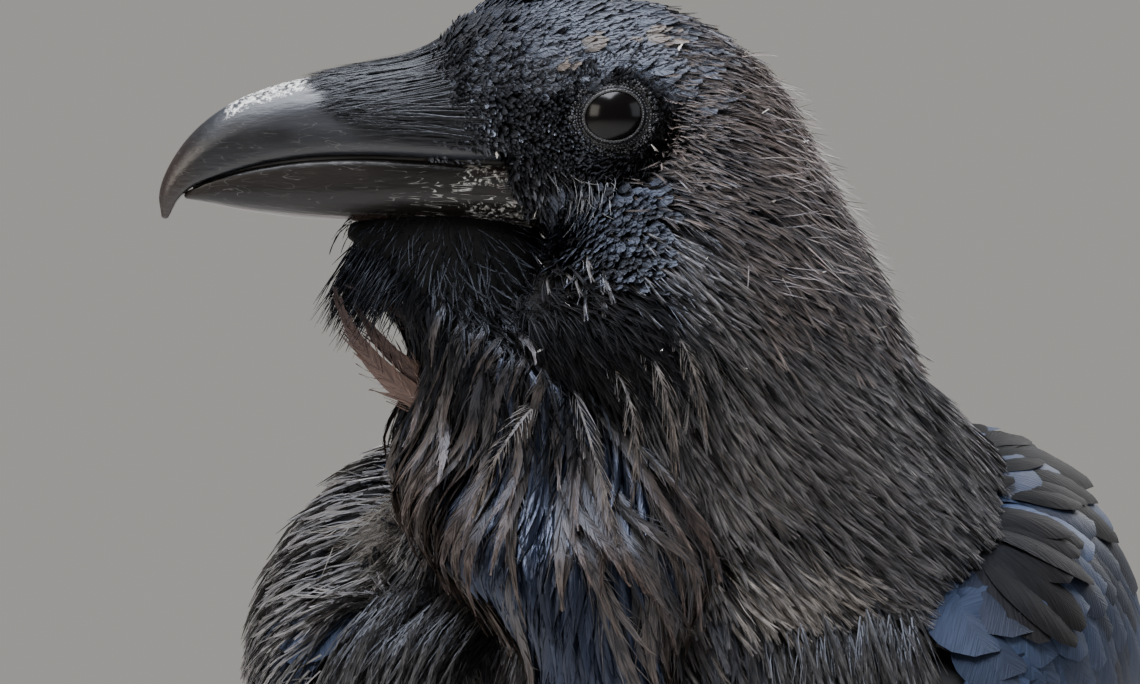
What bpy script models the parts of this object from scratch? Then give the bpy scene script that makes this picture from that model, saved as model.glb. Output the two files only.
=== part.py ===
"""A common raven standing at rest with its head turned to its right, life size, as closed solids.

The bird faces -Y, its left side is +X, and it stands on Z = 0. Sizes are in millimetres and become
metres in `put`. The flesh (rump, trunk, breast, neck, head) is one loft along the spine, parted by
thin cuts; wings and thighs are lofts of their own, cut back from the flesh by a small clearance.
"""
import math

import bmesh
import bpy
import numpy as np

for old in list(bpy.data.objects):
    bpy.data.objects.remove(old)

MM = 0.001
GAP = 0.3            # clearance between pieces that touch
HEAD_TURN = 75.0     # the head looks this far round to the bird's right
HEAD_PIVOT = (5.2, -38.5)   # where the neck carries the head, in plan
EYE_AHEAD, EYE_HEIGHT, EYE_OUT, EYE_RADIUS = 15.8, 375.0, 15.8, 8.4
FOOT_X, FOOT_Y = 37.0, 17.0  # where a foot's toes part, in plan
TAIL_ROOT_Y, TAIL_ROOT_Z = 158.0, 166.0
TAIL_LENGTH, TAIL_SLOPE = 237.0, 21.5
SIDES = {"left": 1.0, "right": -1.0}


# ---------------------------------------------------------------- helpers
def material(name, colour, roughness, metallic=0.0):
    """A Principled material, or the one already made under that name."""
    found = bpy.data.materials.get(name)
    if found:
        return found
    made = bpy.data.materials.new(name)
    made.use_nodes = True
    shader = made.node_tree.nodes["Principled BSDF"]
    shader.inputs["Base Color"].default_value = (*colour, 1.0)
    shader.inputs["Roughness"].default_value = roughness
    shader.inputs["Metallic"].default_value = metallic
    return made


def black_plumage():
    return material("plumage", (0.022, 0.021, 0.024), 0.55)


def glossy_plumage():
    return material("flight_plumage", (0.018, 0.020, 0.030), 0.38)


def black_horn():
    return material("horn", (0.030, 0.030, 0.032), 0.34)


def leg_scale():
    return material("leg_scale", (0.020, 0.020, 0.021), 0.5)


def eye_gloss():
    return material("eye", (0.018, 0.010, 0.007), 0.06)


def put(name, points, faces, finish, smooth_angle=40.0):
    """A named mesh object from points in millimetres, smooth but for edges over the angle."""
    mesh = bpy.data.meshes.new(name)
    mesh.from_pydata((np.asarray(points) * MM).tolist(), [], faces)
    work = bmesh.new()
    work.from_mesh(mesh)
    bmesh.ops.recalc_face_normals(work, faces=work.faces)
    work.to_mesh(mesh)
    work.free()
    mesh.shade_smooth()
    mesh.set_sharp_from_angle(angle=math.radians(smooth_angle))
    mesh.materials.append(finish)
    made = bpy.data.objects.new(name, mesh)
    bpy.context.scene.collection.objects.link(made)
    return made


def hide(cutter):
    """Marks a helper that cuts or joins, and is no part of the bird."""
    cutter.hide_render = True
    cutter.display_type = "WIRE"
    return cutter


def combine(piece, other, operation):
    """Adds a Boolean of that kind to the piece."""
    step = piece.modifiers.new(f"{operation.lower()}_{other.name}", "BOOLEAN")
    step.operation = operation
    step.solver = "EXACT"
    step.object = other
    return piece


def along(rows, at):
    """Rows of numbers read at fractional places, on a smooth cubic through every row."""
    rows = np.asarray(rows, float)
    at = np.asarray(at, float)
    last = len(rows) - 1
    slope = np.gradient(rows, axis=0)
    low = np.clip(np.floor(at).astype(int), 0, last - 1)
    f = (at - low)[:, None]
    a, b = rows[low], rows[low + 1]
    ma, mb = slope[low], slope[low + 1]
    return ((2 * f**3 - 3 * f**2 + 1) * a + (f**3 - 2 * f**2 + f) * ma
            + (-2 * f**3 + 3 * f**2) * b + (f**3 - f**2) * mb)


def axes_of(yaw, pitch):
    """Forward, up and left of a section that looks yaw degrees to the right and pitch degrees up."""
    yaw, pitch = math.radians(yaw), math.radians(pitch)
    level = np.array([-math.sin(yaw), -math.cos(yaw), 0.0])
    up = np.array([0.0, 0.0, 1.0])
    forward = level * math.cos(pitch) + up * math.sin(pitch)
    dorsal = -level * math.sin(pitch) + up * math.cos(pitch)
    left = np.array([math.cos(yaw), -math.sin(yaw), 0.0])
    return forward, dorsal, left


def section(row, around, square=(2.2, 2.2), grow=0.0):
    """One ring: a rounded oval with its own half width, height up and height down.

    row is x, y, z, yaw, pitch, half width, up, down, taper, where taper widens the ring's lower
    side. grow widens it all round, in millimetres.
    """
    x, y, z, yaw, pitch, half, up, down, taper = row
    forward, dorsal, left = axes_of(yaw, pitch)
    turn = np.linspace(0, 2 * math.pi, around, endpoint=False)
    c, s = np.cos(turn), np.sin(turn)
    power = np.where(s >= 0, square[0], square[1])
    reach = (np.abs(c) ** power + np.abs(s) ** power) ** (-1 / power)
    side = (half + grow) * (1 - taper * s) * reach * c
    height = (np.where(s >= 0, up, down) + grow) * reach * s
    return np.array([x, y, z]) + side[:, None] * left + height[:, None] * dorsal


def tube(rings):
    """Points and faces of a closed body through these rings, with a flat cap at each end."""
    count = len(rings[0])
    points = np.concatenate(rings)
    faces = []
    for i in range(len(rings) - 1):
        for j in range(count):
            k = (j + 1) % count
            a, b, c, d = i * count + j, i * count + k, (i + 1) * count + k, (i + 1) * count + j
            faces += [(a, b, c), (a, c, d)]
    last = (len(rings) - 1) * count
    faces.append(tuple(range(count))[::-1])
    faces.append(tuple(range(last, last + count)))
    return points, faces


def loft(name, rows, places, around, finish, **shape):
    """A closed body through the rows, with a ring at each of these fractional places."""
    made = [section(row, around, **shape) for row in along(rows, places)]
    points, faces = tube(made)
    return put(name, points, faces, finish)


def shell(name, outer, inner, finish):
    """A closed slab between two grids of points, outer and inner, of the same shape."""
    rows, columns = outer.shape[:2]
    points = np.concatenate([outer.reshape(-1, 3), inner.reshape(-1, 3)])
    under = rows * columns
    faces = []
    for i in range(rows - 1):
        for j in range(columns - 1):
            a, b = i * columns + j, i * columns + j + 1
            c, d = b + columns, a + columns
            faces += [(a, b, c), (a, c, d)]
            faces += [(under + d, under + c, under + a), (under + c, under + b, under + a)]
    rim = ([(0, j) for j in range(columns - 1)] + [(i, columns - 1) for i in range(rows - 1)]
           + [(rows - 1, j) for j in range(columns - 1, 0, -1)] + [(i, 0) for i in range(rows - 1, 0, -1)])
    edge = [i * columns + j for i, j in rim]
    for a, b in zip(edge, edge[1:] + edge[:1]):
        faces.append((b, a, under + a, under + b))
    return put(name, points, faces, finish)


def box_points(low, high):
    """Corners and faces of a box between two opposite corners."""
    corners = [(x, y, z) for x in (low[0], high[0]) for y in (low[1], high[1])
               for z in (low[2], high[2])]
    faces = [(0, 1, 3, 2), (4, 6, 7, 5), (0, 4, 5, 1), (2, 3, 7, 6), (0, 2, 6, 4), (1, 5, 7, 3)]
    return corners, faces


def block(name, low, high):
    """A box used to cut a flat face square to an axis."""
    return hide(put(name, *box_points(low, high), leg_scale()))


# ---------------------------------------------------------------- the flesh, tail to forehead
def head_row(ahead, height, pitch, half, up, down, taper=0.0):
    """A section of the turned head, placed by how far ahead of the neck's pivot it lies."""
    forward = axes_of(HEAD_TURN, 0)[0]
    return (HEAD_PIVOT[0] + forward[0] * ahead, HEAD_PIVOT[1] + forward[1] * ahead, height,
            HEAD_TURN, pitch, half, up, down, taper)


# x, y, z, yaw, pitch, half width, up, down, taper of each section of the body
FLESH = {
    "tail_root": (0, 168, 163, 0, 24, 18, 15, 13, 0.0),
    "rump": (0, 136, 180, 0, 28, 34, 29, 29, 0.0),
    "vent": (0, 100, 197, 0, 30, 49, 42, 45, 0.0),
    "loin": (0, 60, 215, 0, 33, 62, 53, 61, 0.0),
    "belly": (0, 22, 233, 0, 36, 71, 61, 79, 0.0),
    "breast": (0, -6, 252, 0, 44, 74, 61, 89, 0.0),
    "shoulder": (0, -22, 277, 4, 58, 73, 53, 68, 0.0),
    "neck_root": (0.5, -26, 301, 17, 74, 64, 49, 54, 0.0),
    "low_neck": (2, -31, 317, 34, 84, 53, 47, 47, 0.0),
    "mid_neck": head_row(5.6, 332, 90, 45, 47, 43)[:3] + (52, 90, 45, 47, 43, 0.0),
    "high_neck": head_row(5, 350.5, 72, 37.5, 35, 37),
    "nape": head_row(10.5, 363.5, 51, 29, 33, 26, 0.06),
    "ear": head_row(19, 369.5, 28, 24.5, 31, 20.5, 0.08),
    "temple": head_row(28, 371, 10, 21.5, 29.5, 18.5, 0.06),
    "brow": head_row(36, 371, 0, 18.6, 28.2, 16.5),
    "forehead": head_row(44, 371, -4, 16.2, 25.3, 15),
    "lore": head_row(50, 371, 0, 14.2, 20.6, 14),
    "bill_edge": head_row(54, 371, 0, 13.0, 17.2, 13.2),
}
FLESH_ROWS = list(FLESH.values())
PLACE = {name: float(i) for i, name in enumerate(FLESH)}
FLESH_AROUND = 20


# name: where the piece starts and stops along the spine
FLESH_CUTS = {
    "rump": (None, PLACE["vent"] - 0.35), "trunk": (PLACE["vent"] - 0.35, PLACE["breast"] - 0.15),
    "breast": (PLACE["breast"] - 0.15, PLACE["neck_root"] - 0.35),
    "neck_lower": (PLACE["neck_root"] - 0.35, PLACE["mid_neck"] - 0.35),
    "neck_upper": (PLACE["mid_neck"] - 0.35, PLACE["nape"] - 0.35),
    "head": (PLACE["nape"] - 0.35, None),
}
FLESH_PLACES = np.concatenate([np.linspace(0, 4, 8)[:-1], np.linspace(4, 12, 19)[:-1],
                               np.linspace(12, PLACE["bill_edge"], 9)])


def half_space(name, place, ahead, sign):
    """A large box whose face is the section at a place, filling what lies before or behind it."""
    x, y, z, yaw, pitch = along(FLESH_ROWS, [place])[0][:5]
    forward, dorsal, left = axes_of(yaw, pitch)
    corners, faces = box_points((ahead, -300, -300), (ahead + sign * 500, 300, 300))
    points = np.array([x, y, z]) + np.array(corners) @ np.array([forward, left, dorsal])
    return hide(put(name, points, faces, black_plumage()))


def flesh():
    """The body modelled whole and parted by thin flat cuts square to the spine."""
    made = {}
    for name, (start, stop) in FLESH_CUTS.items():
        piece = loft(name, FLESH_ROWS, FLESH_PLACES, FLESH_AROUND, black_plumage())
        if start is not None:
            combine(piece, half_space(f"behind_{name}", start, GAP, -1), "DIFFERENCE")
        if stop is not None:
            combine(piece, half_space(f"ahead_of_{name}", stop, 0.0, 1), "DIFFERENCE")
        made[name] = piece
    return made


def flesh_clearance():
    """The whole body a little larger, which wings, thighs and hackles are cut back from."""
    return hide(loft("flesh_clearance", FLESH_ROWS, FLESH_PLACES, FLESH_AROUND, black_plumage(),
                     grow=GAP + 0.1))


# ---------------------------------------------------------------- the bill
# ahead, height, pitch, half width, up to the culmen, down to the cutting edge
UPPER_BILL = [(45, 375.3, 0, 11.5, 8.8, 9.0),
              (57.7, 376, -2, 10.9, 8.7, 8.8), (67.7, 376.1, -6, 9.7, 8.6, 8.6),
              (76.9, 375.5, -12, 8.3, 8.1, 8.3), (86, 373.3, -21, 6.8, 7.6, 7.3),
              (92.6, 371.0, -31, 5.5, 6.5, 6.6), (98.2, 367.6, -40, 4.4, 5.3, 5.1),
              (103.0, 363.4, -56, 3.0, 3.5, 3.1), (105.6, 359.4, -74, 1.9, 2.2, 1.9),
              (106.5, 355.6, -84, 0.8, 0.8, 0.8)]
LOWER_BILL = [(32, 359.2, 0, 13.4, 6.5, 6.8), (44, 359.8, 0, 12.2, 6.0, 6.1),
              (56, 360.6, 0, 10.7, 6.1, 6.2), (68, 360.9, 0, 9.1, 6.2, 6.4),
              (80, 360.9, 0, 7.3, 5.5, 5.7), (90, 360.9, 0, 5.2, 3.7, 4.4),
              (96, 360.5, 0, 3.2, 2.2, 2.5), (99.6, 360.0, 0, 1.2, 0.8, 0.9)]
UPPER_SQUARE, LOWER_SQUARE = (1.9, 4.5), (4.5, 2.2)
PAD_START, PAD_STOP = GAP + 54.0, 75.0


def bill_rows(table, taper):
    return [head_row(*row[:3], *row[3:], taper) for row in table]


def bill():
    """Upper and lower mandible, each one piece of horn, closed along the cutting edge."""
    upper_rows, lower_rows = bill_rows(UPPER_BILL, 0.10), bill_rows(LOWER_BILL, -0.06)
    upper_places = np.linspace(0, len(upper_rows) - 1, 15)
    lower_places = np.linspace(0, len(lower_rows) - 1, 13)
    loft("bill_upper", upper_rows, upper_places, 12, black_horn(), square=UPPER_SQUARE)
    loft("bill_lower", lower_rows, lower_places, 12, black_horn(), square=LOWER_SQUARE)
    return [hide(loft("bill_upper_clearance", upper_rows, upper_places[:4], 12, black_horn(),
                      square=UPPER_SQUARE, grow=GAP + 0.1)),
            hide(loft("bill_lower_clearance", lower_rows, lower_places[:8], 12, black_horn(),
                      square=LOWER_SQUARE, grow=GAP + 0.1))]


def nasal_bristles():
    """The pad of stiff bristles that lies forward over the nostrils and the base of the culmen."""
    rows = bill_rows(UPPER_BILL, 0.10)
    ahead = np.array([row[0] for row in UPPER_BILL])
    steps, columns = 5, 13
    outer, inner = [], []
    for k, reach in enumerate(np.linspace(PAD_START, PAD_STOP, steps)):
        row = along(rows, [np.interp(reach, ahead, np.arange(len(ahead)))])[0]
        square = UPPER_SQUARE
        thick = 0.7 + 2.5 * (1 - k / (steps - 1)) ** 0.8
        low = math.radians(-14 + 40 * k / (steps - 1))
        turn = np.linspace(low, math.pi - low, columns)
        for grid, grow in ((outer, GAP + thick), (inner, GAP + 0.05)):
            ring = section(row, 720, square=square, grow=grow)
            index = np.round(turn / (2 * math.pi) * 720).astype(int) % 720
            grid.append(ring[index])
    return shell("nasal_bristles", np.array(outer), np.array(inner), black_plumage())


# ---------------------------------------------------------------- eyes
def ball(name, centre, radius, finish, segments=12, rings=8):
    """A sphere at a place in millimetres."""
    mesh = bpy.data.meshes.new(name)
    work = bmesh.new()
    bmesh.ops.create_uvsphere(work, u_segments=segments, v_segments=rings, radius=radius * MM)
    work.to_mesh(mesh)
    work.free()
    mesh.shade_smooth()
    mesh.materials.append(finish)
    made = bpy.data.objects.new(name, mesh)
    made.location = np.asarray(centre) * MM
    bpy.context.scene.collection.objects.link(made)
    return made


def eyes(head):
    """Each eyeball sits in a socket, with a shallow dish round it that shows the cornea."""
    forward, up, left = axes_of(HEAD_TURN, 0)
    pivot = np.array([*HEAD_PIVOT, 0.0])
    for side, sign in SIDES.items():
        centre = pivot + forward * EYE_AHEAD + up * EYE_HEIGHT + left * sign * EYE_OUT
        ball(f"eye_{side}", centre, EYE_RADIUS, eye_gloss())
        socket = hide(ball(f"socket_{side}", centre, EYE_RADIUS + GAP + 0.15, eye_gloss()))
        dish = hide(ball(f"dish_{side}", centre + left * sign * 12.0, 7.4, eye_gloss(), 10, 6))
        combine(head, socket, "DIFFERENCE")
        combine(head, dish, "DIFFERENCE")


# ---------------------------------------------------------------- throat hackles
def throat_hackles(clear):
    """The beard of long pointed feathers that hangs from chin and throat over the upper breast."""
    def front(x, y, z, yaw, pitch, half, out, into):
        return (x, y, z, yaw, pitch, half, into, out, 0.0)

    chin = [head_row(74, 353.3, 8, 3.0, 3.0, 1.8), head_row(67, 350.8, 16, 6.5, 7.0, 4.4),
            head_row(58, 345.8, 32, 12.0, 17, 8.0), head_row(50, 337.5, 56, 19, 27, 8.5)]
    rows = chin + [front(-30, -58, 325, 50, 78, 27, 13, 13), front(-24, -61, 312, 32, 86, 32, 12, 14),
                   front(-16, -68, 299, 16, 90, 32, 10.5, 15), front(-8, -75, 286, 6, 92, 27, 9, 16),
                   front(-4, -78, 275, 0, 96, 18, 7, 13), front(-2, -81, 264, 0, 98, 7, 4.0, 8)]
    made = loft("throat_hackles", rows, np.linspace(0, len(rows) - 1, 14), 12, black_plumage())
    for other in clear:
        combine(made, other, "DIFFERENCE")
    return made


# ---------------------------------------------------------------- wings
# x, y, z, pitch, reach above, reach below, half thickness, lean at the top, tuck at the bottom
WING = [(60, -64, 269, 40, 12, 12, 6, 10, 10), (66, -52, 272, 38, 31, 28, 14, 35, 15),
        (70, -30, 273, 36, 51, 42, 18, 54, 22), (71, -4, 263, 34, 61, 49, 19, 63, 25),
        (68, 35, 237, 31, 65, 48, 16, 68, 25), (59, 85, 207, 28, 66, 41, 11.5, 76, 24),
        (46, 135, 178, 26, 56, 30, 9, 82, 18), (35, 185, 153, 24, 43, 23, 6.5, 80, 8),
        (28, 235, 136, 22, 29, 16, 5, 68, 4), (25, 283, 123, 21, 17, 11, 3.6, 38, 1),
        (22.5, 322, 113.5, 21, 9, 7, 2.4, 12, 1), (21.5, 346, 107, 21, 3, 3, 1.2, 1, 1)]
# name: where each stretch of the wing starts and stops along those stations, and its rings
WING_CUTS = {"coverts": (0.0, 4.7, 9), "secondaries": (4.7, 7.2, 5), "primaries": (7.2, 11.0, 7)}
WING_AROUND = 16


def wing_ring(row, sign, ahead=0.0):
    """A bowed lens across the folded wing.

    Its middle line leaves the centre upright and bends inwards at an even rate both ways, to the
    row's lean at the upper edge and its tuck at the lower edge.
    """
    x, y, z, pitch, above, below, thick, lean, tuck = row
    forward, dorsal, left = axes_of(0, pitch)
    turn = np.linspace(0, 2 * math.pi, WING_AROUND, endpoint=False)
    c, s = np.cos(turn), np.sin(turn)
    bend = np.where(s >= 0, math.radians(lean) / above, math.radians(tuck) / below)
    reach = np.abs(s) * np.where(s >= 0, above, below)
    angle = bend * reach
    side = np.sign(s)
    depth = np.where(c >= 0, 1.0, 1.9) * c * thick
    rise = side * np.sin(angle) * (1 / bend + depth)
    out = -(1 - np.cos(angle)) / bend + np.cos(angle) * depth
    ring = np.array([x, y, z]) + forward * ahead + np.outer(out, left) + np.outer(rise, dorsal)
    return ring * [sign, 1, 1]


def wings(clear):
    """Coverts, secondaries and primaries of each folded wing, end to end."""
    for side, sign in SIDES.items():
        beyond = block(f"beyond_{side}", (min(-sign * 200, sign * GAP), -300, 0),
                       (max(-sign * 200, sign * GAP), 500, 500))
        for name, cut in WING_CUTS.items():
            rows = along(WING, np.linspace(*cut))
            made = [wing_ring(row, sign, -GAP if name != "coverts" and k == 0 else 0.0)
                    for k, row in enumerate(rows)]
            piece = put(f"wing_{side}_{name}", *tube(made), glossy_plumage())
            for other in [*clear, beyond]:
                combine(piece, other, "DIFFERENCE")


# ---------------------------------------------------------------- tail
def tail(name="tail", grow=0.0):
    """Twelve long feathers closed to one blade, roofed slightly across and rounded behind."""
    slope = math.radians(TAIL_SLOPE)
    back = np.array([0.0, math.cos(slope), -math.sin(slope)])
    up = np.array([0.0, math.sin(slope), math.cos(slope)])
    steps, columns = 7, 13
    across = np.linspace(-1, 1, columns)
    length = TAIL_LENGTH * (1 - 0.16 * np.abs(across) ** 1.7) + grow
    outer, inner = [], []
    for k in range(steps):
        f = k / (steps - 1)
        half = 15 + 19 * f**0.9 + grow
        thick = (9 - 7.6 * f) * (1 - 0.55 * across**2) + 0.9
        base = np.array([0, TAIL_ROOT_Y, TAIL_ROOT_Z]) + np.outer(length * f + 14 * (1 - f), back)
        sheet = base + np.outer(across * half, [1, 0, 0]) + np.outer(3 - 5.5 * across**2, up)
        outer.append(sheet + grow * up)
        inner.append(sheet - (thick[:, None] + grow) * up)
    return shell(name, np.array(outer), np.array(inner), glossy_plumage())


# ---------------------------------------------------------------- legs and feet
ANKLE = (38.0, 42.0, 80.0)
# x, y, z, half width, half depth down the feathered thigh
THIGH = [(36, -6, 192, 30, 44), (37, 2, 174, 30.5, 40), (38, 12, 150, 25, 31),
         (38.5, 24, 124, 17.5, 20.5), (38.3, 35, 100, 10.5, 12.5), (38, 41, 84, 6.6, 7.6),
         (38, 43, 76, 5.2, 6.0)]
# share of the way from ankle to foot, half width, half depth
TARSUS = [(-0.08, 4.6, 5.4), (0.04, 5.5, 6.5), (0.17, 4.0, 5.0), (0.5, 3.1, 4.2), (0.8, 3.5, 4.2),
          (0.92, 4.9, 4.9), (1.0, 5.2, 4.6)]
# name: direction outwards from straight ahead, length of toe, girth, length of claw
TOES = {"2": (-27.0, 37.0, 4.3, 15.0), "3": (-1.0, 50.0, 4.4, 16.0), "4": (27.0, 41.0, 4.1, 13.5),
        "1": (174.0, 29.0, 4.5, 19.0)}
FOOT_Z, FOOT_TOP = 5.4, 10.6


def thighs(clear):
    """The feathered thighs, full where they leave the belly and close round the ankle."""
    below = block("below_thigh", (-90, -90, 0), (90, 90, ANKLE[2] + GAP))
    for side, sign in SIDES.items():
        rows = [(sign * x, y, z, 0, -63, half, deep, deep, 0.0) for x, y, z, half, deep in THIGH]
        piece = loft(f"thigh_{side}", rows, np.linspace(0, len(rows) - 1, 10), 14, black_plumage())
        for other in [*clear, below]:
            combine(piece, other, "DIFFERENCE")


def tarsi():
    """The bare scaled shank, from the ankle down to where the toes part."""
    top, foot = np.array(ANKLE), np.array([FOOT_X, FOOT_Y, FOOT_Z + 2.0])
    below = block("below_shank", (-90, -90, -9), (90, 90, FOOT_TOP + GAP))
    above = block("above_shank", (-90, -90, ANKLE[2]), (90, 90, 120))
    for side, sign in SIDES.items():
        lean = math.degrees(math.atan2(top[2] - foot[2], top[1] - foot[1]))
        rows = []
        for share, half, deep in TARSUS:
            x, y, z = top + (foot - top) * share
            rows.append((sign * x, y, z, 0, -lean, half, deep, deep, 0.0))
        shank = loft(f"tarsus_{side}", rows, np.linspace(0, len(rows) - 1, 10), 10, leg_scale())
        combine(shank, below, "DIFFERENCE")
        combine(shank, above, "DIFFERENCE")


def toe_rows(sign, name):
    """Sections along one toe, swelling at each pad, from the foot's centre to the claw."""
    outward, length, girth, _ = TOES[name]
    yaw = -sign * outward
    joints = 3 if name != "1" else 2
    rows = []
    for share in np.linspace(0.0, 1.0, 9):
        forward = axes_of(yaw, 0)[0]
        pad = 0.5 - 0.5 * math.cos(2 * math.pi * joints * share)
        size = girth * (1.0 - 0.22 * share) * (0.86 + 0.16 * pad)
        x, y = np.array([sign * FOOT_X, FOOT_Y]) + forward[:2] * length * share
        height = size * (0.93 - 0.06 * pad) + 1.5 * (1 - share) ** 3
        rows.append((x, y, height, yaw, 0, size * 0.92, size, size, 0.0))
    return rows


def feet():
    """Four toes joined at a knuckle, their pads flat on the ground, and a claw on each."""
    above = block("above_foot", (-90, -90, FOOT_TOP), (90, 90, 40))
    under = block("under_foot", (-90, -90, -40), (90, 90, 0))
    for side, sign in SIDES.items():
        knuckle = ball(f"foot_{side}", (sign * FOOT_X, FOOT_Y, FOOT_Z), 6.2, leg_scale(), 12, 8)
        for name in TOES:
            rows = toe_rows(sign, name)
            rings = [np.maximum(section(row, 8), [-1e9, -1e9, 0.0]) for row in rows]
            toe = hide(put(f"toe_{side}_{name}", *tube(rings), leg_scale()))
            combine(knuckle, toe, "UNION")
            claw(side, sign, name, rows[-1])
        combine(knuckle, above, "DIFFERENCE")
        combine(knuckle, under, "DIFFERENCE")


def claw(side, sign, name, end):
    """A curved claw that leaves the toe's end level and comes down to the ground at its point."""
    outward, _, girth, length = TOES[name]
    forward = axes_of(-sign * outward, 0)[0]
    base = np.array(end[:3]) + forward * GAP
    bend = math.radians(66)
    radius = length / bend
    rows = []
    for share in np.linspace(0, 1, 5):
        angle = bend * share
        lift = 1.6 * math.sin(math.pi * share)
        place = base + forward * radius * math.sin(angle)
        height = base[2] * (1 - share) + lift + 0.45 * share
        size = girth * 0.62 * (1 - share) ** 0.8 + 0.32
        rows.append((place[0], place[1], height, -sign * outward, -math.degrees(angle) * 0.75,
                     size * 0.72, size, size * 0.9, 0.0))
    rings = [np.maximum(section(row, 6), [-1e9, -1e9, 0.0]) for row in rows]
    put(f"claw_{side}_{name}", *tube(rings), black_horn())


# ---------------------------------------------------------------- assembly
def stand_on_origin():
    """Moves every piece so that the origin is on the ground under the middle of the bird's box."""
    bpy.context.view_layer.update()
    graph = bpy.context.evaluated_depsgraph_get()
    corners = []
    for piece in bpy.context.scene.objects:
        if not piece.hide_render:
            solid = piece.evaluated_get(graph)
            corners += [solid.matrix_world @ v.co for v in solid.data.vertices]
    places = np.array(corners)
    middle = (places.min(axis=0) + places.max(axis=0)) / 2
    ground = bpy.data.objects.new("ground_point", None)
    bpy.context.scene.collection.objects.link(ground)
    for piece in list(bpy.context.scene.objects):
        if piece is not ground:
            piece.parent = ground
    ground.location = (-middle[0], -middle[1], -places[:, 2].min())


pieces = flesh()
body_room = flesh_clearance()
bill_room = bill()
for cutter in bill_room:
    combine(pieces["head"], cutter, "DIFFERENCE")
    combine(pieces["neck_upper"], cutter, "DIFFERENCE")
nasal_bristles()
eyes(pieces["head"])
throat_hackles([body_room, *bill_room])
tail_piece = tail()
combine(tail_piece, body_room, "DIFFERENCE")
wings([body_room, hide(tail("tail_clearance", GAP + 0.1))])
thighs([body_room])
tarsi()
feet()
stand_on_origin()
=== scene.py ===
"""A common raven standing at rest, dressed over its CAD frame: skin, plumage, bill, eyes, legs and studio.

Sizes are millimetres in the bird's own axes: it faces -Y and its left side is +X. `piece` makes them metres.
"""
import math

import bpy
import mathutils
import numpy as np
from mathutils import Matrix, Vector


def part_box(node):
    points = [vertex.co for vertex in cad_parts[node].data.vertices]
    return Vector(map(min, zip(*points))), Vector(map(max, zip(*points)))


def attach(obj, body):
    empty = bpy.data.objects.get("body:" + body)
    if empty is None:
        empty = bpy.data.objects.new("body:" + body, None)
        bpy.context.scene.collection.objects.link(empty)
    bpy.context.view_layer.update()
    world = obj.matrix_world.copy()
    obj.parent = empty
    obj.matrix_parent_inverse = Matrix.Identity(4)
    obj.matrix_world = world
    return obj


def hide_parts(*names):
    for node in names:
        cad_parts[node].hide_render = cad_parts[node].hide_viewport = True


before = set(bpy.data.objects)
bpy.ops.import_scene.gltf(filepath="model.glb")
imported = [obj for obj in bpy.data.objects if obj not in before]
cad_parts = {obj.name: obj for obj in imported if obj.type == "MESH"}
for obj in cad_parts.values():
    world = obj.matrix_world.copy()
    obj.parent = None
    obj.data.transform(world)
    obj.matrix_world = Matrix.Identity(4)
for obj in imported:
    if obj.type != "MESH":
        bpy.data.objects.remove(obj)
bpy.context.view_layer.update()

# ---------------------------------------------------------------- skin
# The skin is one closed hide from the base of the bill to the root of the tail, lying under the
# feathers by the depth of the coat. It is thin, dark and hidden but for the rims of the eyes.
HEAD_TURN, HEAD_PIVOT = 75.0, (5.2, -38.5)
EYE_AHEAD, EYE_HEIGHT, EYE_OUT, EYE_RADIUS = 15.8, 375.0, 15.8, 8.4


def axes_of(yaw, pitch):
    """Forward, up and left unit vectors: level heading turned by yaw, then tipped up by pitch (degrees)."""
    yaw, pitch = np.radians(yaw), np.radians(pitch)
    zero = np.zeros_like(yaw * pitch)
    level = np.stack([-np.sin(yaw) + zero, -np.cos(yaw) + zero, zero], -1)
    up = np.array([0.0, 0.0, 1.0])
    c, s = np.cos(pitch)[..., None], np.sin(pitch)[..., None]
    left = np.stack([np.cos(yaw) + zero, -np.sin(yaw) + zero, zero], -1)
    return level * c + up * s, up * c - level * s, left


AHEAD, _, LEFT = axes_of(np.array(HEAD_TURN), np.array(0.0))
UP = np.array([0.0, 0.0, 1.0])


def head_row(ahead, height, pitch, half, up, down, taper=0.0):
    """A section of the turned head, at HEAD_PIVOT + ahead * AHEAD and a height."""
    x, y = HEAD_PIVOT[0] + AHEAD[0] * ahead, HEAD_PIVOT[1] + AHEAD[1] * ahead
    return (x, y, height, HEAD_TURN, pitch, half, up, down, taper)


# Each row is a station: x, y, z, yaw, pitch, half width, reach up, reach down, taper, depth of the coat.
BODY = np.array([
    (0, 168, 163, 0, 24, 18, 15, 13, 0.0, 4), (0, 136, 180, 0, 28, 34, 29, 29, 0.0, 7),
    (0, 100, 197, 0, 30, 49, 42, 45, 0.0, 8), (0, 60, 215, 0, 33, 62, 53, 61, 0.0, 9),
    (0, 22, 233, 0, 36, 71, 61, 79, 0.0, 9), (0, -6, 252, 0, 44, 74, 61, 89, 0.0, 9),
    (0, -22, 277, 4, 58, 73, 53, 68, 0.0, 8.5), (0.5, -26, 301, 17, 74, 64, 49, 54, 0.0, 8),
    (2, -31, 317, 34, 84, 53, 47, 47, 0.0, 7), head_row(5.6, 332, 90, 45, 47, 43)[:3]
    + (52, 90, 45, 47, 43, 0.0, 6), (*head_row(5, 350.5, 72, 37.5, 35, 37), 5),
    (*head_row(10.5, 363.5, 51, 29, 33, 26, 0.06), 3.6),
    (*head_row(19, 369.5, 28, 24.5, 31, 20.5, 0.08), 2.6),
    (*head_row(28, 371, 10, 21.5, 29.5, 18.5, 0.06), 2.2), (*head_row(36, 371, 0, 18.6, 28.2, 16.5), 2.0),
    (*head_row(44, 371, -4, 16.2, 25.3, 15), 1.8), (*head_row(50, 371, 0, 14.2, 20.6, 14), 1.6),
    (*head_row(54, 371, 0, 13.0, 17.2, 13.2), 1.5)])
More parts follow.
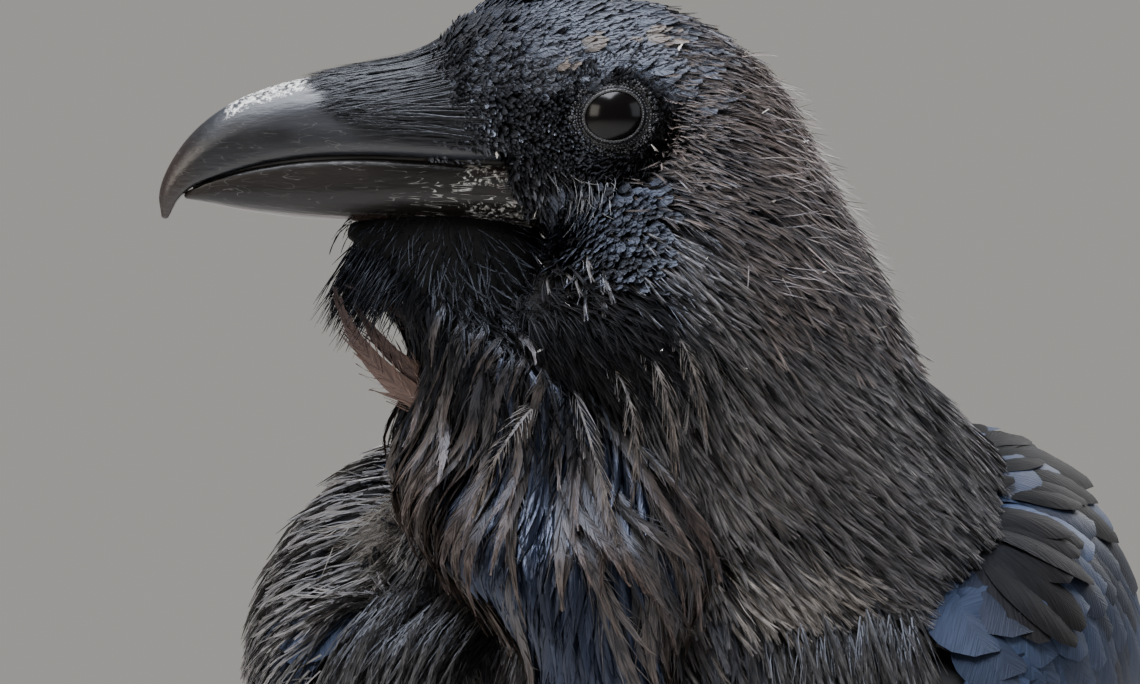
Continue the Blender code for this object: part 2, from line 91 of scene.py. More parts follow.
# The numbers of the stations that coats start or end at.
VENT, BELLY, BREAST, NECK_ROOT, LOW_NECK, MID_NECK, HIGH_NECK = 2, 4, 5, 7, 8, 9, 10
NAPE, EAR, TEMPLE, FOREHEAD, LORE, BILL_EDGE = 11, 12, 13, 15, 16, 17


def along(rows, at):
    """Rows read at fractional places: cubic Hermite through every row, slopes by central difference."""
    slope = np.gradient(rows, axis=0)
    at = np.clip(at, 0, len(rows) - 1)
    low = np.minimum(np.floor(at).astype(int), len(rows) - 2)
    f = (at - low)[..., None]
    return ((2 * f**3 - 3 * f**2 + 1) * rows[low] + (f**3 - 2 * f**2 + f) * slope[low]
            + (3 * f**2 - 2 * f**3) * rows[low + 1] + (f**3 - f**2) * slope[low + 1])


def loft(rows, at, turn, off, square=(2.2, 2.2)):
    """Points round sections: superellipses of half width, up and down, grown by off, each in its own plane.

    turn is the angle round the section in radians: 0 the left side, pi/2 the back, 3 pi/2 the belly.
    """
    at, turn, off = np.broadcast_arrays(*[np.asarray(v, float) for v in (at, turn, off)])
    row = along(rows, at)
    _, dorsal, left = axes_of(row[..., 3], row[..., 4])
    c, s = np.cos(turn), np.sin(turn)
    power = np.where(s >= 0, square[0], square[1])
    reach = (np.abs(c) ** power + np.abs(s) ** power) ** (-1 / power)
    side = (row[..., 5] + off) * (1 - row[..., 8] * s) * reach * c
    height = (np.where(s >= 0, row[..., 6], row[..., 7]) + off) * reach * s
    return row[..., :3] + side[..., None] * left + height[..., None] * dorsal


def smooth(value, low, high):
    """0 below low, 1 above high, and a smooth cubic between."""
    f = np.clip((value - low) / (high - low), 0, 1)
    return f * f * (3 - 2 * f)


def in_head(points):
    """How far ahead of the neck's pivot, how high, and how far to its left, for points in mm."""
    flat = points[..., :2] - HEAD_PIVOT
    return flat @ AHEAD[:2], points[..., 2], flat @ LEFT[:2]


def body(at, turn, off):
    """A point of the plumage's outer surface, moved out by off: the loft through BODY, sunk in two places.

    Within 7.5 mm of an eye's axis it lies level with the eyeball's edge, and by 14 mm it is back on the
    loft. Below the nostrils it narrows to let the horn of the gape show.
    """
    points = loft(BODY, at, turn, off)
    ahead, high, out = in_head(points)
    sunk = (1 - smooth(np.hypot(ahead - EYE_AHEAD, high - EYE_HEIGHT), 7.5, 14.0)) * (np.abs(out) > 8)
    level = EYE_OUT + 6.3 + 0.4 * off
    gape = smooth(ahead, 35.5, 38.5) * (1 - smooth(high - 0.176 * (ahead - 42.6), 367.2, 369.5))
    move = sunk * (level - np.abs(out)) - gape * np.maximum(np.abs(out) - 10.0 - 0.4 * off, 0)
    return points + (move * np.sign(out))[..., None] * LEFT


def depth(at):
    """Depth of the coat at a place along the body."""
    return along(BODY, np.asarray(at, float))[..., 9]


def linear(code, alpha=1.0):
    """An sRGB hex colour as the linear RGBA that shaders take."""
    value = np.array([int(code[i:i + 2], 16) for i in (1, 3, 5)]) / 255
    value = np.where(value <= 0.04045, value / 12.92, ((value + 0.055) / 1.055) ** 2.4)
    return (*value.tolist(), alpha)


def add(material, kind, inputs=None, **settings):
    """Adds a shader node with its settings, and sets or links each input named."""
    tree = material.node_tree
    made = tree.nodes.new(kind)
    for key, value in settings.items():
        setattr(made, key, value)
    for key, value in (inputs or {}).items():
        if isinstance(value, bpy.types.NodeSocket):
            tree.links.new(value, made.inputs[key])
        else:
            made.inputs[key].default_value = value
    return made


def plain(name, colour, roughness, **more):
    """A Principled material of one colour; more sets other inputs by name, with _ for a space."""
    made = bpy.data.materials.new(name)
    made.use_nodes = True
    shader = made.node_tree.nodes["Principled BSDF"]
    shader.inputs["Base Color"].default_value = linear(colour)
    shader.inputs["Roughness"].default_value = roughness
    for key, value in more.items():
        shader.inputs[key.replace("_", " ")].default_value = value
    return made


def wire(material, **sockets):
    """Links node outputs to a material's shader by the names of its inputs, with _ for a space."""
    shader = material.node_tree.nodes["Principled BSDF"]
    for key, value in sockets.items():
        material.node_tree.links.new(value, shader.inputs[key.replace("_", " ")])
    return material


# The frame's left eye shows where the bird's own axes start: HERE is their origin in the frame, in mm.
MM = 0.001
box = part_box("eye_left")
HERE = (np.array(box[0]) + np.array(box[1])) / 2 * 1000
HERE = HERE - (np.array([*HEAD_PIVOT, EYE_HEIGHT]) + AHEAD * EYE_AHEAD + LEFT * EYE_OUT)


def piece(name, points, quads, material, slot, unwrap=None, maps=None, marks=None, replaces=()):
    """A finished object from points in mm and quads; unwrap, maps and marks hold one value per point."""
    mesh = bpy.data.meshes.new(name)
    points, quads = np.asarray(points, float).reshape(-1, 3), np.asarray(quads).reshape(-1, 4)
    mesh.vertices.add(len(points))
    mesh.vertices.foreach_set("co", ((points + HERE) * MM).astype(np.float32).ravel())
    mesh.loops.add(quads.size)
    mesh.loops.foreach_set("vertex_index", quads.ravel().astype(np.int32))
    mesh.polygons.add(len(quads))
    mesh.polygons.foreach_set("loop_start", np.arange(0, quads.size, 4, dtype=np.int32))
    mesh.update(calc_edges=True)
    for label, values in {"OFBake": unwrap, **(maps or {})}.items():
        if values is not None:
            layer = mesh.uv_layers.new(name=label)
            layer.data.foreach_set("uv", np.asarray(values, np.float32).reshape(-1, 2)[quads.ravel()].ravel())
    for label, values in (marks or {}).items():
        layer = mesh.attributes.new(label, "FLOAT_VECTOR", "POINT")
        layer.data.foreach_set("vector", np.asarray(values, np.float32).reshape(-1, 3).ravel())
    mesh.shade_smooth()
    mesh.materials.append(material)
    made = bpy.data.objects.new(name, mesh)
    bpy.context.scene.collection.objects.link(made)
    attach(made, "root")
    if replaces:
        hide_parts(*replaces)
    return made


def grid_quads(rows, columns, closed=False):
    """Quads of a grid of points; closed joins the last column to the first."""
    i, j = np.meshgrid(np.arange(rows - 1), np.arange(columns if closed else columns - 1), indexing="ij")
    k = (j + 1) % columns
    return np.stack([i * columns + j, i * columns + k, (i + 1) * columns + k, (i + 1) * columns + j], -1)


def turns(count):
    """Angles of count points round a section, 2 pi k / count, as one row of a grid."""
    return np.linspace(0, 2 * np.pi, count + 1)[None, :-1]


def stations(low, high, count):
    """Places of count sections from low to high, as one column of a grid."""
    return np.linspace(low, high, count)[:, None]


def tube(rings, dome=0.0):
    """Points of a body through rings [count, around, 3], closed at each end by rings of share k of the last.

    Ring k lies dome * sqrt(1 - k ** 2) mean radii further out along the body's own axis there.
    """
    caps = []
    for end, inner in ((rings[:1], rings[1:2]), (rings[-1:], rings[-2:-1])):
        middle = end.mean(1, keepdims=True)
        way = middle - inner.mean(1, keepdims=True)
        rise = dome * np.linalg.norm(end - middle, axis=-1).mean() * way / (np.linalg.norm(way) + 1e-12)
        caps.append([middle + (end - middle) * k + rise * math.sqrt(1 - k * k) for k in (0.001, 0.5, 0.85)])
    return np.concatenate([*caps[0], rings, *caps[1][::-1]])


def unrolled(around, rows, turn=(0, 1), place=(0, 1)):
    """Unwrap of rows of points round a body: the turn goes across and the place along the body goes up."""
    return np.stack(np.meshgrid(np.linspace(*turn, around), np.linspace(*place, rows)), -1)


def closed_piece(name, points, material, slot, inward=False, **more):
    """A finished piece from the points that `tube` gives; inward turns its faces the other way round."""
    rows, around = points.shape[:2]
    quads = grid_quads(rows, around, closed=True)
    return piece(name, points, quads[..., ::-1] if inward else quads, material, slot,
                 unwrap=unrolled(around, rows), **more)


THIGH = np.array([(36, -6, 192, 0, -63, 30, 44, 44, 0), (37, 2, 174, 0, -63, 30.5, 40, 40, 0),
                  (38, 12, 150, 0, -63, 25, 31, 31, 0), (38.5, 24, 124, 0, -63, 17.5, 20.5, 20.5, 0),
                  (38.3, 35, 100, 0, -63, 10.5, 12.5, 12.5, 0), (38, 41, 84, 0, -63, 6.6, 7.6, 7.6, 0),
                  (38, 43, 76, 0, -63, 5.2, 6.0, 6.0, 0)], float)
THIGH_COAT = 4.0
SIDES = {"left": 1.0, "right": -1.0}


def thigh(sign):
    """The surface of one thigh's feathers: a loft from the belly down to the ankle."""
    return lambda at, turn, off: loft(THIGH, at, turn, off) * [sign, 1, 1]


# The body takes the lower part of the unwrap, up to BODY_SHARE, and the thighs what is left above it.
AROUND, THIGH_RINGS, BODY_SHARE = 112, 24, 0.86
at = np.concatenate([np.linspace(0, 9, 60)[:-1], np.linspace(9, 17, 120)])
hide = tube(body(at[:, None], turns(AROUND), -depth(at)[:, None]))
hides = [hide.reshape(-1, 3)]
sheets = [grid_quads(len(hide), AROUND, closed=True).reshape(-1, 4)]
maps = [unrolled(AROUND, len(hide), place=(0, BODY_SHARE)).reshape(-1, 2)]
for sign in SIDES.values():
    sunk = stations(-THIGH_COAT, -0.6, THIGH_RINGS)
    hide = tube(thigh(sign)(stations(0, 6, THIGH_RINGS), turns(AROUND), sunk))
    quads = grid_quads(len(hide), AROUND, closed=True).reshape(-1, 4)[:, ::int(sign)]
    sheets.append(quads + sum(map(len, hides)))
    hides.append(hide.reshape(-1, 3))
    strip = unrolled(AROUND, len(hide), (0, 0.5), (0.88, 1)) + [0.25 * (1 - sign), 0]
    maps.append(strip.reshape(-1, 2))
# Thin dry skin: dark and matt, so that no light shows between the feathers.
skin_hide = plain("raven skin, dark grey", "#0b0a0b", 0.7, Specular_IOR_Level=0.2)
piece("skin", np.concatenate(hides), np.concatenate(sheets), skin_hide, "plumage",
      unwrap=np.concatenate(maps),
      replaces=("head", "neck_upper", "neck_lower", "breast", "trunk", "rump", "thigh_left", "thigh_right"))


# ---------------------------------------------------------------- bill
# Two mandibles of grey-black horn over bone. The upper is arched and hooked, its cutting edges close
# over the lower, and the lower slides back under the cheek.
UPPER = np.array([head_row(*row, 0.10) for row in [
    (35, 375.0, 1, 12.3, 8.6, 8.7), (45, 375.3, 0, 11.5, 8.8, 9.0), (57.7, 376, -2, 10.9, 8.7, 8.8),
    (67.7, 376.1, -6, 9.7, 8.6, 8.6), (76.9, 375.5, -12, 8.3, 8.1, 8.3), (86, 373.3, -21, 6.8, 7.6, 7.3),
    (92.6, 371.0, -31, 5.5, 6.5, 6.6), (98.2, 367.6, -40, 4.4, 5.3, 5.1), (103.0, 363.4, -56, 3.0, 3.5, 3.1),
    (105.6, 359.4, -74, 1.9, 2.2, 1.9), (106.5, 355.6, -84, 0.8, 0.8, 0.8)]])
LOWER = np.array([head_row(*row, -0.06) for row in [
    (32, 359.2, 0, 13.4, 6.5, 6.8), (44, 359.8, 0, 12.2, 6.0, 6.1), (56, 360.6, 0, 10.7, 6.1, 6.2),
    (68, 360.9, 0, 9.1, 6.2, 6.4), (80, 360.9, 0, 7.3, 5.5, 5.7), (90, 360.9, 0, 5.2, 3.7, 4.4),
    (97, 360.4, 0, 3.2, 2.3, 2.5), (101.6, 359.8, 0, 1.3, 0.9, 1.0)]])


def bill_top(at, turn, off):
    """The upper mandible's surface: arched above, nearly square at the cutting edge."""
    return loft(UPPER, at, turn, off, (1.75, 8.0))


def bill_under(at, turn, off):
    """The lower mandible's surface: nearly square at the cutting edge, rounded beneath."""
    return loft(LOWER, at, turn, off, (8.0, 2.0))


def stops(ramp, *colours):
    """Sets a colour ramp's stops from pairs of a place on it and an sRGB hex colour."""
    elements = ramp.color_ramp.elements
    for k, (place, code) in enumerate(colours):
        stop = elements[k] if k < 2 else elements.new(place)
        stop.position, stop.color = place, linear(code)


def horn(name, dark, light, shine):
    """Grey-black horn, satin and finely scratched along its length.

    The mark "wear" paints it: x is pale dust on the ridge, partly a painted highlight along it, y pale
    scratches, z browner horn.
    """
    made = plain(name, light, 0.33, Specular_IOR_Level=shine)
    wear = add(made, "ShaderNodeAttribute", attribute_name="wear")
    parts = add(made, "ShaderNodeSeparateXYZ", {"Vector": wear.outputs["Vector"]})
    place = add(made, "ShaderNodeTexCoord").outputs["Object"]
    turned = add(made, "ShaderNodeMapping", {"Vector": place, "Rotation": (0, 0, math.radians(-15))})
    drawn = add(made, "ShaderNodeMapping", {"Vector": turned.outputs[0], "Scale": (0.12, 1, 1)})
    cloud = add(made, "ShaderNodeTexNoise", {"Vector": drawn.outputs[0], "Scale": 160.0, "Detail": 8.0})
    tint = add(made, "ShaderNodeValToRGB", {"Fac": cloud.outputs[0]})
    stops(tint, (0.35, dark), (0.70, light))
    tipped = add(made, "ShaderNodeMix", {"Factor": parts.outputs["Z"], "A": tint.outputs[0],
                                         "B": linear("#211814")}, data_type="RGBA")
    speck = add(made, "ShaderNodeTexNoise", {"Vector": place, "Scale": 1000.0, "Detail": 9.0,
                                             "Roughness": 0.7})
    # Pale dust where fine specks meet mark x, partly a painted highlight on the ridge.
    dust = add(made, "ShaderNodeMath", {0: speck.outputs[0], 1: parts.outputs["X"]}, operation="MULTIPLY")
    dust_and_highlight = add(made, "ShaderNodeMapRange", {"Value": dust.outputs[0], "From Min": 0.44, "From Max": 0.60,
                                             "To Max": 0.95})
    # A scratch is where a wandering noise crosses its middle, broken up by a coarser one.
    wander = add(made, "ShaderNodeMapping", {"Vector": turned.outputs[0], "Rotation": (0, 0.5, 0),
                                             "Scale": (0.09, 1, 1)})
    course = add(made, "ShaderNodeTexNoise", {"Vector": wander.outputs[0], "Scale": 850.0, "Detail": 1.0})
    line = add(made, "ShaderNodeMath", {0: course.outputs[0], 1: 0.5, 2: 0.011}, operation="COMPARE")
    broken = add(made, "ShaderNodeMath", {0: line.outputs[0], 1: parts.outputs["Y"]}, operation="MULTIPLY")
    patchy = add(made, "ShaderNodeTexNoise", {"Vector": place, "Scale": 330.0, "Detail": 4.0})
    shown = add(made, "ShaderNodeMapRange", {"Value": patchy.outputs[0], "From Min": 0.45, "From Max": 0.60,
                                             "To Max": 0.95})
    rubbed = add(made, "ShaderNodeMath", {0: broken.outputs[0], 1: shown.outputs[0]}, operation="MULTIPLY")
    dust_and_highlight_mixed = add(made, "ShaderNodeMix", {"Factor": dust_and_highlight.outputs[0], "A": tipped.outputs["Result"],
                                         "B": linear("#c2c1be")}, data_type="RGBA")
    marked = add(made, "ShaderNodeMix", {"Factor": rubbed.outputs[0], "A": dust_and_highlight_mixed.outputs["Result"],
                                         "B": linear("#8f8e8c")}, data_type="RGBA")
    scratch = add(made, "ShaderNodeTexNoise", {"Vector": drawn.outputs[0], "Scale": 1300.0, "Detail": 6.0})
    bump = add(made, "ShaderNodeBump", {"Height": scratch.outputs[0], "Strength": 0.35, "Distance": 0.0003})
    rough = add(made, "ShaderNodeMapRange", {"Value": cloud.outputs[0], "To Min": 0.26, "To Max": 0.5})
    return wire(made, Base_Color=marked.outputs["Result"], Roughness=rough.outputs[0],
                Normal=bump.outputs[0])


# Keratin horn, worn satin: blue-grey with faint dust above, the dust partly a painted highlight along the
# ridge, browner and more scratched below.
upper_horn = horn("upper bill horn", "#0d0e11", "#222429", 0.30)
lower_horn = horn("lower bill horn", "#060505", "#15110f", 0.20)
top = np.sin(turns(72))
for name, shape, rows, material, node, upper in (
        ("upper_bill", bill_top, UPPER, upper_horn, "bill_upper", 1.0),
        ("lower_bill", bill_under, LOWER, lower_horn, "bill_lower", 0.0)):
    shell = tube(shape(stations(0, len(rows) - 1, 110), turns(72), 0.0), 0.9)
    ahead, _, _ = in_head(shell)
    # Pale dust along the upper ridge, partly a painted highlight there; pale wear at the lower mandible's
    # base.
    dust = upper * smooth(ahead, 70, 80) * (1 - smooth(ahead, 93, 98)) * smooth(top, 0.25, 0.80)
    dust = dust + 0.85 * (1 - upper) * (1 - smooth(ahead, 44, 56)) * smooth(np.abs(top), 0.0, 0.3)
    scuffs = (1 - upper) * (1 - 0.9 * smooth(ahead, 44, 66)) + upper * 0.1
    brown = np.maximum(0.6 * smooth(ahead, 97, 106), (1 - upper) * 0.9 * smooth(-top, 0.75, 0.97))
    wear = np.stack([dust, scuffs + 0 * dust, brown], -1)
    closed_piece(name, shell, material, "horn", marks={"wear": wear}, replaces=(node,))
MOUTH = np.array([head_row(*row) for row in [
    (36, 365.8, 0, 11.0, 2.6, 2.6), (54, 366.6, 0, 9.2, 2.4, 2.4), (73, 366.7, -3, 7.2, 2.2, 2.2),
    (84, 366.0, -10, 5.0, 1.4, 1.4), (92, 364.4, -14, 2.8, 0.9, 0.9), (100.5, 361.3, -20, 1.0, 0.6, 0.6)]])
# Moist lining of the mouth: it fills the line between the mandibles with darkness.
mouth_dark = plain("mouth lining, near black", "#0b090a", 0.6)
lining = loft(MOUTH, stations(0, 5, 30), turns(32), 0.0)
closed_piece("mouth_lining", tube(lining, 0.5), mouth_dark, "horn")


# ---------------------------------------------------------------- eyes
# Each eye is a wet ball in its socket, nearly black with a dark brown iris, and round it sits a
# lid's rim of bare skin set with tiny pale beads.
EYE = {sign: np.array([*HEAD_PIVOT, EYE_HEIGHT]) + AHEAD * EYE_AHEAD + LEFT * sign * EYE_OUT
       for sign in (1, -1)}


def eye_gloss():
    """Wet eye: black pupil, dark brown iris and near-black rim, by distance from the pupil's axis."""
    made = plain("eye, dark brown and wet", "#0c0705", 0.17, Specular_IOR_Level=0.13)
    place = add(made, "ShaderNodeUVMap", uv_map="pupil")
    away = add(made, "ShaderNodeSeparateXYZ", {"Vector": place.outputs[0]})
    ramp = add(made, "ShaderNodeValToRGB", {"Fac": away.outputs["X"]})
    stops(ramp, (0.30, "#040303"), (0.34, "#241109"), (0.62, "#0b0706"))
    return wire(made, Base_Color=ramp.outputs[0])


# Wet cornea over a dark iris; then bare lid skin, dull and finely beaded, a little paler at its edge.
wet_eye = eye_gloss()
rim_skin = plain("eyelid skin, near black", "#101012", 0.45)
bead_skin = plain("eyelid beads, dark grey", "#232427", 0.45, Specular_IOR_Level=0.4)
lid_edge = plain("eyelid edge, grey", "#2b2c2e", 0.5, Specular_IOR_Level=0.4)
OPEN_LONG, OPEN_TALL, LID_LEVEL = 5.75, 5.0, 6.0
EDGE_BEADS, SECOND_BEADS, THIRD_BEADS, LOOSE_BEADS = 66, 60, 62, 230


def round_eye(sign, swing, spin):
    """Unit vectors round an eye: cos(swing) outward + sin(swing) cos(spin) ahead + sin(swing) sin(spin) up.

    The right eye's turn the other way round, so that both face outwards.
    """
    return (np.cos(swing)[..., None] * LEFT * sign + (np.sin(swing) * np.cos(spin))[..., None] * AHEAD
            + sign * (np.sin(swing) * np.sin(spin))[..., None] * UP)


def on_lid(sign, reach, angle, lift):
    """A point of a lid: the oval opening grown by reach, over the ball's edge, then out level with the skin.

    At a distance far from the eye's axis the ball's edge lies sqrt(EYE_RADIUS ** 2 - far ** 2) out.
    """
    away = OPEN_LONG * reach * np.cos(angle) + 0.15 * np.cos(2 * angle)
    rise = OPEN_TALL * reach * np.sin(angle) - 0.25 * np.cos(angle)
    far = np.hypot(away, rise)
    edge = np.sqrt(np.maximum(EYE_RADIUS**2 - far**2, 20.0))
    level = edge + (LID_LEVEL - edge) * smooth(far, 5.6, 8.4)
    return (EYE[sign] + (level + lift)[..., None] * (LEFT * sign) + away[..., None] * AHEAD
            + rise[..., None] * UP)


for side, sign in SIDES.items():
    swing, spin = stations(0.002, np.pi - 0.002, 40), turns(96)
    place = np.stack(np.broadcast_arrays(swing / np.pi, spin / (2 * np.pi)), -1)
    ball = EYE[sign] + EYE_RADIUS * round_eye(sign, swing, spin)
    piece(f"eyeball_{side}", ball, grid_quads(40, 96, closed=True), wet_eye, "eye", unwrap=place,
          maps={"pupil": place}, replaces=(f"eye_{side}",))
    across = stations(0, 1, 18)
    lift = 0.42 * np.sin(np.pi * np.clip(across * 2.6 + 0.1, 0, 1)) + 0.02 - 0.7 * smooth(across, 0.75, 1.0)
    rim = on_lid(sign, 0.985 + 0.44 * across, spin + 0 * across, lift)
    quads = grid_quads(18, 96, closed=True)[..., ::-int(sign)]
    place = np.stack(np.broadcast_arrays(spin / (2 * np.pi), across), -1)
    piece(f"eyelid_{side}", rim, quads, rim_skin, "plumage", unwrap=place)
    # Beads: rings of small domes round the opening, then looser grains out to the first feathers.
    grains = np.random.default_rng(4)
    rings = ((EDGE_BEADS, 1.05), (SECOND_BEADS, 1.17), (THIRD_BEADS, 1.29))
    ring = np.concatenate([*(np.full(many, reach) for many, reach in rings), np.zeros(LOOSE_BEADS)])
    loose = grains.uniform(1.34, 1.56, len(ring))
    ring = np.where(ring == 0, loose, ring + 0.012 * grains.normal(size=len(ring)))
    angle = np.concatenate([*(np.arange(many) / many for many, _ in rings),
                            grains.uniform(0, 1, LOOSE_BEADS)])
    edge = ring < 1.1
    sunk = np.where(edge, 0.40, 0.16) - 0.3 * smooth(ring, 1.40, 1.56)
    centre = on_lid(sign, ring, angle * 2 * np.pi, sunk)
    size = np.where(edge, 0.21, 0.27) * grains.uniform(0.75, 1.2, len(ring))
    dome = round_eye(sign, stations(0.02, 1.9, 5), turns(6)).reshape(-1, 3)
    bead = centre[:, None, :] + size[:, None, None] * dome
    quads = grid_quads(5, 6, closed=True).reshape(1, -1, 4) + len(dome) * np.arange(len(ring))[:, None, None]
    place = np.stack([angle, ring / 2], -1)[:, None] + 0.002 * dome[None, :, :2]
    for label, material, rows in (("lid_edge", lid_edge, slice(0, EDGE_BEADS)),
                                  ("eye_beads", bead_skin, slice(EDGE_BEADS, None))):
        kept = quads[rows] - quads[rows].min()
        piece(f"{label}_{side}", bead[rows], kept, material, "plumage", unwrap=place[rows])


# ---------------------------------------------------------------- crown and face feathers
# Small firm feathers overlap like scales from the bill back over crown, cheek and nape. They are
# black with a blue-grey gloss, rooted in the skin, each tip lying on the feathers behind it.
SPREAD_CELLS, GOLDEN = 180, (0.7548776662, 0.5698402910)


def spread(count, surface, at_range, turn_range, weight=None, seed=0.5):
    """Roots spread evenly by area: a two-number golden sequence read through the summed area of a grid.

    weight(points) scales how close they stand.
    """
    at = np.linspace(*at_range, SPREAD_CELLS + 1)
    turn = np.linspace(*turn_range, SPREAD_CELLS + 1)
    corners = surface(at[:, None], turn[None, :], 0.0)
    near = corners[:-1, :-1]
    area = np.linalg.norm(np.cross(corners[1:, :-1] - near, corners[:-1, 1:] - near), axis=-1)
    if weight is not None:
        area = area * np.maximum(weight((corners[1:, 1:] + corners[:-1, :-1]) / 2), 0)
    k = np.arange(count)
    first, second = (seed + GOLDEN[0] * k) % 1, (0.5 + GOLDEN[1] * k) % 1
    total = np.concatenate([[0], np.cumsum(area.sum(1))])
    found_at = np.interp(first * total[-1], total, at)
    row = np.clip(np.searchsorted(at, found_at) - 1, 0, SPREAD_CELLS - 1)
    share = np.cumsum(area[row], axis=1)
    share = np.concatenate([np.zeros((count, 1)), share / share[:, -1:]], axis=1)
    column = np.clip((share < second[:, None]).sum(1), 1, SPREAD_CELLS)
    low, high = share[k, column - 1], share[k, column]
    return found_at, turn[column - 1] + (second - low) / (high - low + 1e-12) * (turn[1] - turn[0])


def unit(v):
    """Vectors at length one."""
    return v / (np.linalg.norm(v, axis=-1, keepdims=True) + 1e-12)


def waver(points, size, seed):
    """Smooth numbers between -1 and 1 that change over about size mm: four crossed sine waves."""
    random = np.random.default_rng(seed)
    way = unit(random.normal(size=(4, 3))) * 2 * np.pi / size
    return np.sin(points @ way.T + random.uniform(0, 6.3, 4)).sum(-1) / 2.6


def spot(across, up=0.0):
    """1 in the middle of a soft spot, falling off all round as exp(-across ** 2 - up ** 2)."""
    return np.exp(-(across**2) - up**2)


def slopes(surface, at, turn):
    """How a surface's points move with at and with turn: central differences over 0.004."""
    small = 0.002
    return ((surface(at + small, turn, 0.0) - surface(at - small, turn, 0.0)) / (2 * small),
            (surface(at, turn + small, 0.0) - surface(at, turn - small, 0.0)) / (2 * small))


def shaft_on(surface, path_at, path_turn, height):
    """Shafts over a surface: points at a height along its normal, the normals and sideways unit vectors."""
    shaft = surface(path_at, path_turn, 0.0)
    outward = unit(surface(path_at, path_turn, 0.5) - shaft)
    normal = unit(np.cross(*slopes(surface, path_at, path_turn)))
    normal = unit(normal * np.sign((normal * outward).sum(-1, keepdims=True)) + 0.1 * outward)
    shaft = shaft + np.asarray(height)[..., None] * normal
    return shaft, normal, unit(np.cross(unit(np.gradient(shaft, axis=1)), normal))


def lay(surface, at, turn, way, length, low, high, bow=0.5, steps=6):
    """Shafts that walk their length over a surface from their roots, in equal steps, each the way given.

    A step along the way w solves step_at * S_at + step_turn * S_turn = w by least squares, a little damped,
    and no step passes 0.7 in either.
    Height goes from low at the root to high at the tip as low + (high - low) * share ** bow.
    """
    path_at, path_turn = [at], [turn]
    for _ in range(steps - 1):
        along_at, along_turn = slopes(surface, at, turn)
        a, b, c = [(p * q).sum(-1) + more for p, q, more in (
            (along_at, along_at, 0.01), (along_at, along_turn, 0.0), (along_turn, along_turn, 0.01))]
        d, e = (along_at * way).sum(-1), (along_turn * way).sum(-1)
        step_at, step_turn = (c * d - b * e) / (a * c - b * b), (a * e - b * d) / (a * c - b * b)
        size = np.linalg.norm(step_at[:, None] * along_at + step_turn[:, None] * along_turn, axis=-1)
        reach = length / (steps - 1) / np.maximum(size, 0.3)
        at, turn = at + np.clip(step_at * reach, -0.7, 0.7), turn + np.clip(step_turn * reach, -0.7, 0.7)
        path_at.append(at)
        path_turn.append(turn)
    share = np.linspace(0, 1, steps)[None, :]
    return shaft_on(surface, np.stack(path_at, 1), np.stack(path_turn, 1),
                    low[:, None] + (high - low)[:, None] * share**bow)


def outline(a, wide, point):
    """Half width of a feather at each share of its length: sin(pi * a ** k) ** point, widest at wide."""
    k = math.log(0.5) / math.log(wide)
    return np.maximum(np.sin(np.pi * np.clip(a, 0.02, 0.985) ** k), 0.03) ** point


def leaf(rows, columns, point=0.8, camber=0.25, wide=0.45, width=1.0):
    """A firm vane as (share along, share across, height) and quads; its edges droop by camber."""
    a = np.linspace(0.0, 1.0, rows)[:, None]
    c = np.linspace(-1, 1, columns)[None, :] * outline(a, wide, point) * width
    a, c = np.broadcast_arrays(a, c)
    return np.stack([a, c, -camber * c**2], -1).reshape(-1, 3), grid_quads(rows, columns).reshape(-1, 4)


def barbs(count, steps, reach=0.35, thick=0.10, ragged=0.25, seed=1, start=0.0, wide=0.45, point=0.7,
          curl=0.0, droop=0.22):
    """A loose feather as tapering blades that leave the shaft in turn to either side and end on its outline.

    Blade j leaves at start + (0.93 - start) j / count and runs reach further along.
    """
    random = np.random.default_rng(seed)
    j = np.arange(count)[:, None, None]
    s = np.linspace(0, 1, steps)[None, :, None]
    edge = np.array([-1.0, 1.0])[None, None, :]
    begin = start + (0.93 - start) * j / count
    run = np.minimum(reach * (1 + ragged * random.normal(size=(count, 1, 1))), 1.04 - begin)
    side = np.where(j % 2 == 0, 1.0, -1.0)
    out = side * outline(begin + run, wide, point) * (1 + ragged * random.normal(size=(count, 1, 1)) * 0.6)
    width = thick * (1 - 0.85 * s**1.5)
    roll = random.normal(size=(count, 1, 1)) * 0.5 + side * 0.35
    a = begin + run * s
    c = out * s**0.8 + edge * width
    height = -droop * c**2 + edge * width * roll + random.normal(size=(count, 1, 1)) * 0.06 * s + curl * s**2
    i = np.arange(count)[:, None] * steps * 2 + np.arange(steps - 1)[None, :] * 2
    return (np.stack(np.broadcast_arrays(a, c, height), -1).reshape(-1, 3),
            np.stack([i, i + 1, i + 3, i + 2], -1).reshape(-1, 4))


PATCH = 0.003


def both(first, second):
    """Two templates as one."""
    return np.concatenate([first[0], second[0]]), np.concatenate([first[1], second[1] + len(first[0])])


